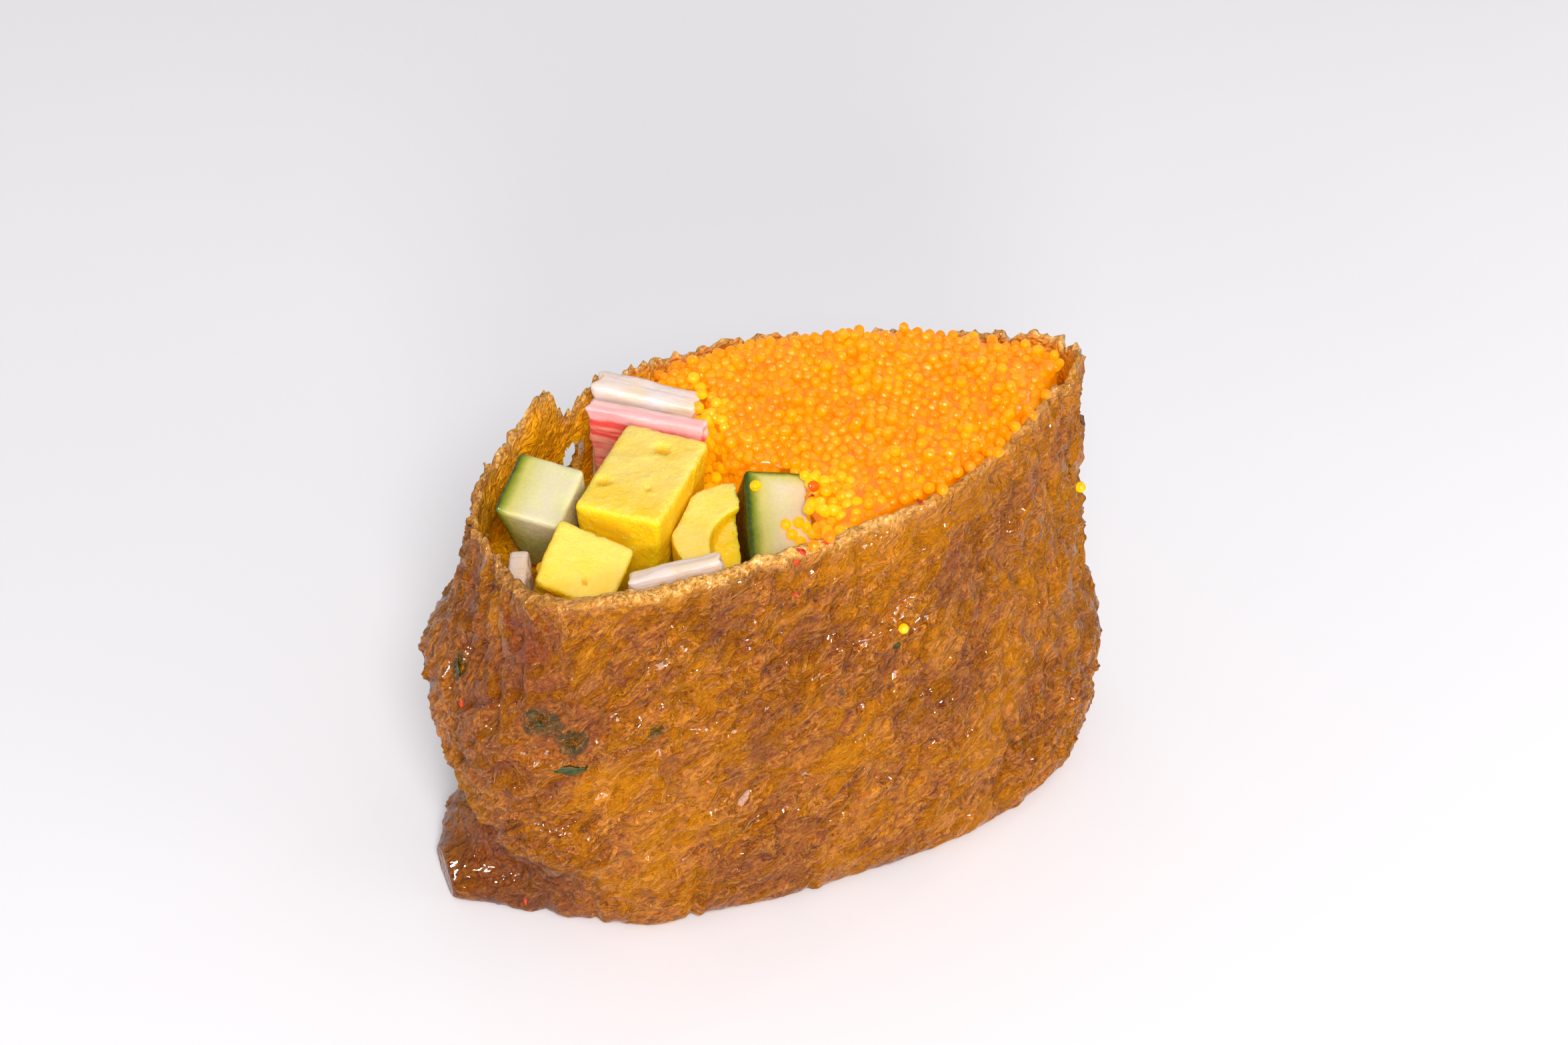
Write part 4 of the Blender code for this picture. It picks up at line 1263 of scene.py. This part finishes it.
def skin_shade(tree, settings, at):
    """The skin's colour: amber, then the film and its pale crests, then the marks, each over the last."""
    amber = blend_colour(tree, spread(tree, at.lumps, 0.05, 0.17), settings.skin_colour, settings.dark_colour)
    ridge = maths(tree, "MULTIPLY", spread(tree, at.lumps, 0.0, 0.022, 0.55, 0.0),
                  spread(tree, at.film, 0.1, 0.7, 0.2, 1.0))
    edge = maths(tree, "MULTIPLY", spread(tree, at.flaps, 0.62, 1.0),
                 spread(tree, at.raised, -0.3, 0.9, 0.30, 0.95))
    # Painted light: golden where the eggs shine through the skin and over the +X end, from the golden marks.
    painted_egg_light = maths(tree, "MULTIPLY", at.golden, spread(tree, at.swirl, 0.40, 0.60, 0.35, 0.9))
    threads = placed(tree, fibre_web(), at.place, Spacing=1.4, Bend=1.2, Thickness=0.035)
    # Painted shade: dark holes between the net's fibres, where no hole is cut.
    holes = maths(tree, "MULTIPLY", at.net, maths(tree, "SUBTRACT", 1.0, threads), clamp=True)
    sponge = blend_colour(tree, spread(tree, at.grain, 0.35, 0.65), settings.cut_colour,
                          settings.crest_colour)
    lining = blend_colour(tree, spread(tree, at.swirl, 0.35, 0.7, 0.0, 0.6), settings.lining_colour,
                          settings.golden_colour)
    colour = amber
    for share, over in (
        (maths(tree, "MULTIPLY", at.film, 0.85), settings.film_colour),
        (ridge, settings.crest_colour),
        (edge, settings.crest_colour),
        (maths(tree, "MULTIPLY", at.web, 0.5), settings.crest_colour),
        (spread(tree, at.grain, 0.32, 0.46, 0.12, 0.0), settings.dark_colour),
        (spread(tree, at.patches, 0.52, 0.66, 0.0, 0.35), settings.crest_colour),
        (spread(tree, at.raised, -0.9, -0.2, 0.30, 0.0), settings.dark_colour),
        (spread(tree, at.broad, 0.34, 0.50, 0.38, 0.0), settings.dark_colour),
        (spread(tree, at.broad, 0.50, 0.68, 0.0, 0.40), settings.golden_colour),
        # Painted shade: the hollow under the folded lip is darkened.
        (maths(tree, "MULTIPLY", at.sunk, 0.60), settings.dark_colour),
        # Dark red stains, and painted shade over the -X end from the two broad marks there.
        (maths(tree, "MULTIPLY", at.stain, 0.75), settings.stain_and_shade_colour),
        (painted_egg_light, settings.golden_colour),
        (spread(tree, holes, 0.25, 0.6, 0.0, 0.9), settings.hole_shade_colour),
        (at.cut, sponge),
        (at.inner, lining),
    ):
        colour = blend_colour(tree, share, colour, over)
    return colour


def skin_look(settings):
    look, tree, shader = new_look("fried_skin")
    at = skin_patterns(tree)
    colour = skin_shade(tree, settings, at)
    wet = spread(tree, at.film, 0.38, 0.82, 1.0, 0.0)
    rough = spread(tree, wet, 0.0, 1.0, 0.50, 0.22)
    rubbed = maths(tree, "ADD", maths(tree, "MULTIPLY", at.flaps, 0.17),
                   maths(tree, "MULTIPLY", at.grain, 0.16))
    rubbed = maths(tree, "ADD", rubbed, maths(tree, "MULTIPLY", at.web, 0.05))
    rubbed = maths(tree, "MULTIPLY", rubbed, maths(tree, "SUBTRACT", 1.0, wet))
    pooled = maths(tree, "ADD", maths(tree, "MULTIPLY", wet, 0.9), maths(tree, "MULTIPLY", at.sunk, 0.6))
    ripple = maths(tree, "MULTIPLY", noise_value(tree, at.place, 1.0, 1.0), pooled)
    height = maths(tree, "ADD", maths(tree, "MULTIPLY", at.lumps, -1.7), maths(tree, "ADD", rubbed, ripple))
    joined(tree, shader, Base_Color=colour, Roughness=rough, Normal=bumped(tree, height, 1.0),
           Subsurface_Weight=0.40, Subsurface_Radius=(1.0, 0.40, 0.06), Subsurface_Scale=1.1 * MM, IOR=1.45,
           Specular_IOR_Level=0.14, Specular_Tint=(1.0, 0.62, 0.22, 1.0),
           Coat_Weight=maths(tree, "MULTIPLY", wet, 0.38), Coat_Roughness=0.05, Coat_IOR=1.5)
    return look


# ---- properties ---------------------------------------------------------------------------------


def colour_property(name, description, default):
    return bpy.props.FloatVectorProperty(name=name, description=description, subtype="COLOR", size=4,
                                         min=0.0, max=1.0, default=(*default, 1.0))


def power_property(name, description, default):
    return bpy.props.FloatProperty(name=name, description=description, default=default, min=0.0,
                                   unit="POWER")


class InariSkinSettings(bpy.types.PropertyGroup):
    skin_colour: colour_property("Skin", "Amber of the wet fried skin", (0.245, 0.048, 0.0001))
    dark_colour: colour_property("Creases", "Dark amber in wrinkles and hollows", (0.105, 0.014, 0.0001))
    film_colour: colour_property("Film", "Matte tan film on the skin", (0.290, 0.079, 0.0008))
    crest_colour: colour_property("Crests", "Pale tan along thin crests", (0.56, 0.21, 0.012))
    # Besides random golden patches and the lining, this colour is painted light where the eggs shine through
    # the skin and over the +X end.
    golden_colour: colour_property("Soaked", "Skin that the eggs shine through", (0.58, 0.20, 0.002))
    # Dark red stains; the same colour is painted shade over the -X end.
    stain_and_shade_colour: colour_property("Stains", "Dark red syrup stains", (0.19, 0.025, 0.001))
    glaze_colour: colour_property("Glaze", "Clear syrup in the hollows", (1.0, 0.80, 0.50))
    green_fleck: colour_property("Green flecks", "Bits of herb", (0.05, 0.065, 0.004))
    red_fleck: colour_property("Red flecks", "Bits of chilli", (0.78, 0.055, 0.004))
    # Painted shade inside the holes of the nets.
    hole_shade_colour: colour_property("Holes", "Dark holes between torn fibres", (0.06, 0.035, 0.004))
    cut_colour: colour_property("Cut edge", "Spongy edge of the cut tofu", (1.0, 0.60, 0.20))
    lining_colour: colour_property("Lining", "Inside of the pouch", (1.0, 0.41, 0.002))


class InariToppingSettings(bpy.types.PropertyGroup):
    # The paler top and the deeper sides are in part painted light and painted shade.
    omelette_top: colour_property("Omelette top", "Pale cut face of the omelette", (0.93, 0.665, 0.155))
    omelette_side: colour_property("Omelette side", "Moist side of the omelette", (0.95, 0.58, 0.004))
    # Inside the pits, and painted shade over the whole short block.
    omelette_pit_and_shade: colour_property("Omelette pits", "Inside the small pits", (0.80, 0.46, 0.008))
    cucumber_flesh: colour_property("Cucumber flesh", "Pale wet flesh", (0.62, 0.54, 0.36))
    cucumber_veins: colour_property("Cucumber veins", "Greener streaks in the flesh", (0.62, 0.57, 0.30))
    # Painted shade low on the cucumber, deep in the pouch.
    cucumber_low: colour_property("Cucumber shade", "Flesh deep down in the pouch", (0.50, 0.53, 0.17))
    cucumber_under: colour_property("Under the skin", "Bright green under the skin", (0.17, 0.20, 0.002))
    cucumber_rind: colour_property("Rind", "Yellow green edge of the flesh", (0.50, 0.44, 0.09))
    cucumber_skin: colour_property("Cucumber skin", "Dark green skin", (0.022, 0.050, 0.003))
    crab_white: colour_property("Crab stick", "White fish cake", (0.74, 0.61, 0.58))
    # Random warmer patches, and painted shade towards the bottom of each piece.
    crab_shade: colour_property("Crab stick shade", "Warmer patches of the fish cake", (0.74, 0.57, 0.42))
    crab_red: colour_property("Crab red", "Red outside of the crab stick", (0.80, 0.07, 0.06))
    crab_pink: colour_property("Crab pink", "Pink between the red streaks", (0.86, 0.34, 0.24))
    crab_blush: colour_property("Crab blush", "Pink near the red side", (0.88, 0.42, 0.42))


class InariRoeSettings(bpy.types.PropertyGroup):
    bead_size: bpy.props.FloatProperty(name="Egg size", description="Width of one egg in metres",
                                       default=1.17 * MM, min=0.5 * MM, max=3.0 * MM, subtype="DISTANCE",
                                       unit="LENGTH")
    roe_orange: colour_property("Orange", "Most of the eggs", (0.68, 0.27, 0.0004))
    roe_amber: colour_property("Amber", "Lighter eggs", (0.80, 0.38, 0.001))
    # Deep orange eggs; on the roe core the same colour is painted shade between the eggs.
    roe_deep: colour_property("Deep orange", "Between the eggs", (0.66, 0.17, 0.0003))
    roe_golden: colour_property("Golden", "Golden eggs", (0.84, 0.42, 0.002))
    roe_yellow: colour_property("Yellow", "Yellow eggs", (0.90, 0.53, 0.006))
    roe_red: colour_property("Red", "The few red eggs", (0.85, 0.06, 0.005))
    # Painted glow: emission on the eggs and on the roe core that stands for light scattered inside them.
    painted_glow: bpy.props.FloatProperty(name="Glow", description="Light gathered inside the clear eggs",
                                  default=0.35, min=0.0, max=2.0)


class InariStageSettings(bpy.types.PropertyGroup):
    floor_colour: colour_property("Floor", "Pale floor under the sushi", (0.81, 0.785, 0.80))
    floor_shade: colour_property("Floor shade", "Faint clouds in the floor", (0.6, 0.6, 0.62))
    key_power: power_property("Key light", "Power of the large soft light", 5.0)
    front_power: power_property("Front light", "Power of the low light in front", 2.2)
    side_power: power_property("Side light", "Power of the light at the right", 0.35)
    glint_power: power_property("Glint lights", "Power of the small lights that only glint", 3.0)
    sky: bpy.props.FloatProperty(name="Surrounding light", description="Strength of the light from all round",
                                 default=0.56, min=0.0)


# ---- operators ----------------------------------------------------------------------------------


class INARI_OT_pouch(bpy.types.Operator):
    """Makes the fried tofu pouch with its wrinkles, torn rim and lining"""

    bl_idname = "inari.pouch"
    bl_label = "Fried Pouch"

    def execute(self, context):
        build_pouch(context.scene.inari_skin)
        return {"FINISHED"}


class INARI_OT_omelette(bpy.types.Operator):
    """Makes the pieces of rolled omelette"""

    bl_idname = "inari.omelette"
    bl_label = "Rolled Omelette"

    def execute(self, context):
        look = omelette_look(context.scene.inari_toppings)
        for node in OMELETTE:
            build_topping(node, look)
        return {"FINISHED"}


class INARI_OT_cucumber(bpy.types.Operator):
    """Makes the two pieces of cucumber"""

    bl_idname = "inari.cucumber"
    bl_label = "Cucumber"

    def execute(self, context):
        colours = context.scene.inari_toppings
        shared = {"flesh": colours.cucumber_flesh, "flesh_dark": colours.cucumber_veins,
                  "flesh_low": colours.cucumber_low, "under": colours.cucumber_under,
                  "rind": colours.cucumber_rind, "skin": colours.cucumber_skin}
        for node, skin_back in (("cucumber_left", 0.0), ("cucumber_right", 2.2)):
            middle, axes = dice_axes(node)
            corners = np.array([vert.co[:] for vert in frame["nodes"][node].data.vertices]) / MM
            local = (corners - middle) @ axes.T
            edges = {"left": local[:, 0].min(), "back": local[:, 1].max()}
            build_topping(node, cucumber_look({**shared, **edges}, node, skin_back))
        return {"FINISHED"}


class INARI_OT_crab(bpy.types.Operator):
    """Makes the crab stick and its white strips"""

    bl_idname = "inari.crab"
    bl_label = "Crab Stick"

    def execute(self, context):
        colours = context.scene.inari_toppings
        build_topping("crab_stick", crab_look(colours, "crab_stick_painted", 1.0))
        white = crab_look(colours, "crab_stick_white", 0.0)
        for node in CRAB_WHITE:
            build_topping(node, white)
        return {"FINISHED"}


class INARI_OT_roe(bpy.types.Operator):
    """Makes the heap of flying fish roe, egg by egg, over its core"""

    bl_idname = "inari.roe"
    bl_label = "Roe"

    def execute(self, context):
        build_roe(context.scene.inari_roe)
        return {"FINISHED"}


class INARI_OT_glaze(bpy.types.Operator):
    """Makes the drops of clear glaze on the pouch"""

    bl_idname = "inari.glaze"
    bl_label = "Glaze"

    def execute(self, context):
        build_glaze(context.scene.inari_skin)
        return {"FINISHED"}


class INARI_OT_flecks(bpy.types.Operator):
    """Makes the bits of green herb and red chilli that stick to the pouch"""

    bl_idname = "inari.flecks"
    bl_label = "Flecks"

    def execute(self, context):
        colours = context.scene.inari_skin
        build_flecks("green_flecks", GREEN_FLECKS, colours.green_fleck)
        build_flecks("red_flecks", RED_FLECKS, colours.red_fleck)
        return {"FINISHED"}


# ---- stage --------------------------------------------------------------------------------------

# The stage is laid out in metres.
FLOOR_HALF = 3.0
LOOKED_AT = (0.0, 0.0, 0.025)       # where the lights point
# The soft lights: name, place, width, and the setting with their power.
SOFT_LIGHTS = (
    ("key", (-0.14, -0.56, 0.60), 0.26, "key_power"),
    ("front", (-0.20, -0.68, 0.26), 0.22, "front_power"),
    ("side", (0.45, -0.45, 0.30), 0.22, "side_power"),
)
# Small lights that glint on wet surfaces and light nothing else.
GLINT_PLACES = ((-0.30, -0.50, 0.55), (-0.05, -0.70, 0.22), (0.30, -0.58, 0.22), (-0.55, -0.35, 0.25),
                (-0.62, 0.05, 0.30), (0.55, 0.25, 0.35))
GLINT_SIZE = 0.05
SKY_COLOUR = (0.97, 0.98, 1.0, 1.0)
CAMERA_LENS = 74.54
CAMERA_PLACE = (-88.98, -240.34, 247.0)     # in mm
CAMERA_RIGHT, CAMERA_UP = (0.9425, -0.3334, 0.0219), (0.1965, 0.6060, 0.7707)
CAMERA_AHEAD = (0.2703, 0.7221, -0.6367)


def lay_floor(settings):
    half = FLOOR_HALF
    floor = bpy.data.meshes.new("floor")
    floor.from_pydata([(-half, -half, 0), (half, -half, 0), (half, half, 0), (-half, half, 0)], [],
                      [(0, 1, 2, 3)])
    look, tree, shader = new_look("pale_floor")
    cloud = noise_value(tree, object_place(tree), 90.0, 3.0)
    shade = blend_colour(tree, spread(tree, cloud, 0.3, 0.7, 0.0, 0.06), settings.floor_colour,
                         settings.floor_shade)
    joined(tree, shader, Base_Color=shade, Roughness=0.6)
    floor.materials.append(look)
    ground = bpy.data.objects.new("floor", floor)
    bpy.context.scene.collection.objects.link(ground)


def soft_light(name, place, size, power):
    """A round light that points at the sushi."""
    light = bpy.data.lights.new(name, "AREA")
    light.shape = "DISK"
    light.size, light.energy = size, power
    lamp = bpy.data.objects.new(name, light)
    bpy.context.scene.collection.objects.link(lamp)
    lamp.location = place
    lamp.rotation_euler = (Vector(LOOKED_AT) - lamp.location).to_track_quat("-Z", "Y").to_euler()
    return lamp


def light_scene(settings):
    for name, place, size, power in SOFT_LIGHTS:
        soft_light(name, place, size, getattr(settings, power))
    for number, place in enumerate(GLINT_PLACES):
        lamp = soft_light("glint_%d" % number, place, GLINT_SIZE, settings.glint_power)
        lamp.visible_diffuse = False
        lamp.visible_transmission = False
    world = bpy.data.worlds.new("studio")
    world.use_nodes = True
    back = world.node_tree.nodes["Background"]
    back.inputs["Color"].default_value = SKY_COLOUR
    back.inputs["Strength"].default_value = settings.sky
    bpy.context.scene.world = world
    bpy.context.scene.view_settings.view_transform = "Standard"


def place_camera():
    camera = bpy.data.cameras.new("camera")
    camera.lens, camera.sensor_width = CAMERA_LENS, 36.0
    camera.clip_start, camera.clip_end = 0.01, 20.0
    eye = bpy.data.objects.new("camera", camera)
    bpy.context.scene.collection.objects.link(eye)
    turned = Matrix((CAMERA_RIGHT, CAMERA_UP, -Vector(CAMERA_AHEAD))).transposed().to_4x4()
    turned.translation = Vector(CAMERA_PLACE) * MM
    eye.matrix_world = turned
    bpy.context.scene.camera = eye


class INARI_OT_stage(bpy.types.Operator):
    """Makes the pale floor, the studio lights and the camera"""

    bl_idname = "inari.stage"
    bl_label = "Stage"

    def execute(self, context):
        lay_floor(context.scene.inari_stage)
        light_scene(context.scene.inari_stage)
        place_camera()
        return {"FINISHED"}


STEPS = (INARI_OT_pouch, INARI_OT_omelette, INARI_OT_cucumber, INARI_OT_crab, INARI_OT_roe, INARI_OT_glaze,
         INARI_OT_flecks, INARI_OT_stage)


class INARI_PT_panel(bpy.types.Panel):
    """Lists the steps that dress the inari sushi"""

    bl_label = "Inari Sushi"
    bl_idname = "INARI_PT_panel"
    bl_space_type = "VIEW_3D"
    bl_region_type = "UI"
    bl_category = "Inari"

    def draw(self, context):
        for step in STEPS:
            self.layout.operator(step.bl_idname)


SETTINGS = {
    "inari_skin": InariSkinSettings,
    "inari_toppings": InariToppingSettings,
    "inari_roe": InariRoeSettings,
    "inari_stage": InariStageSettings,
}
CLASSES = (*SETTINGS.values(), *STEPS, INARI_PT_panel)


def register():
    for made in CLASSES:
        bpy.utils.register_class(made)
    for name, group in SETTINGS.items():
        setattr(bpy.types.Scene, name, bpy.props.PointerProperty(type=group))


def unregister():
    for name in SETTINGS:
        delattr(bpy.types.Scene, name)
    for made in reversed(CLASSES):
        bpy.utils.unregister_class(made)


def main():
    register()
    for step in STEPS:
        area, name = step.bl_idname.split(".")
        getattr(getattr(bpy.ops, area), name)()


if __name__ == "__main__":
    main()
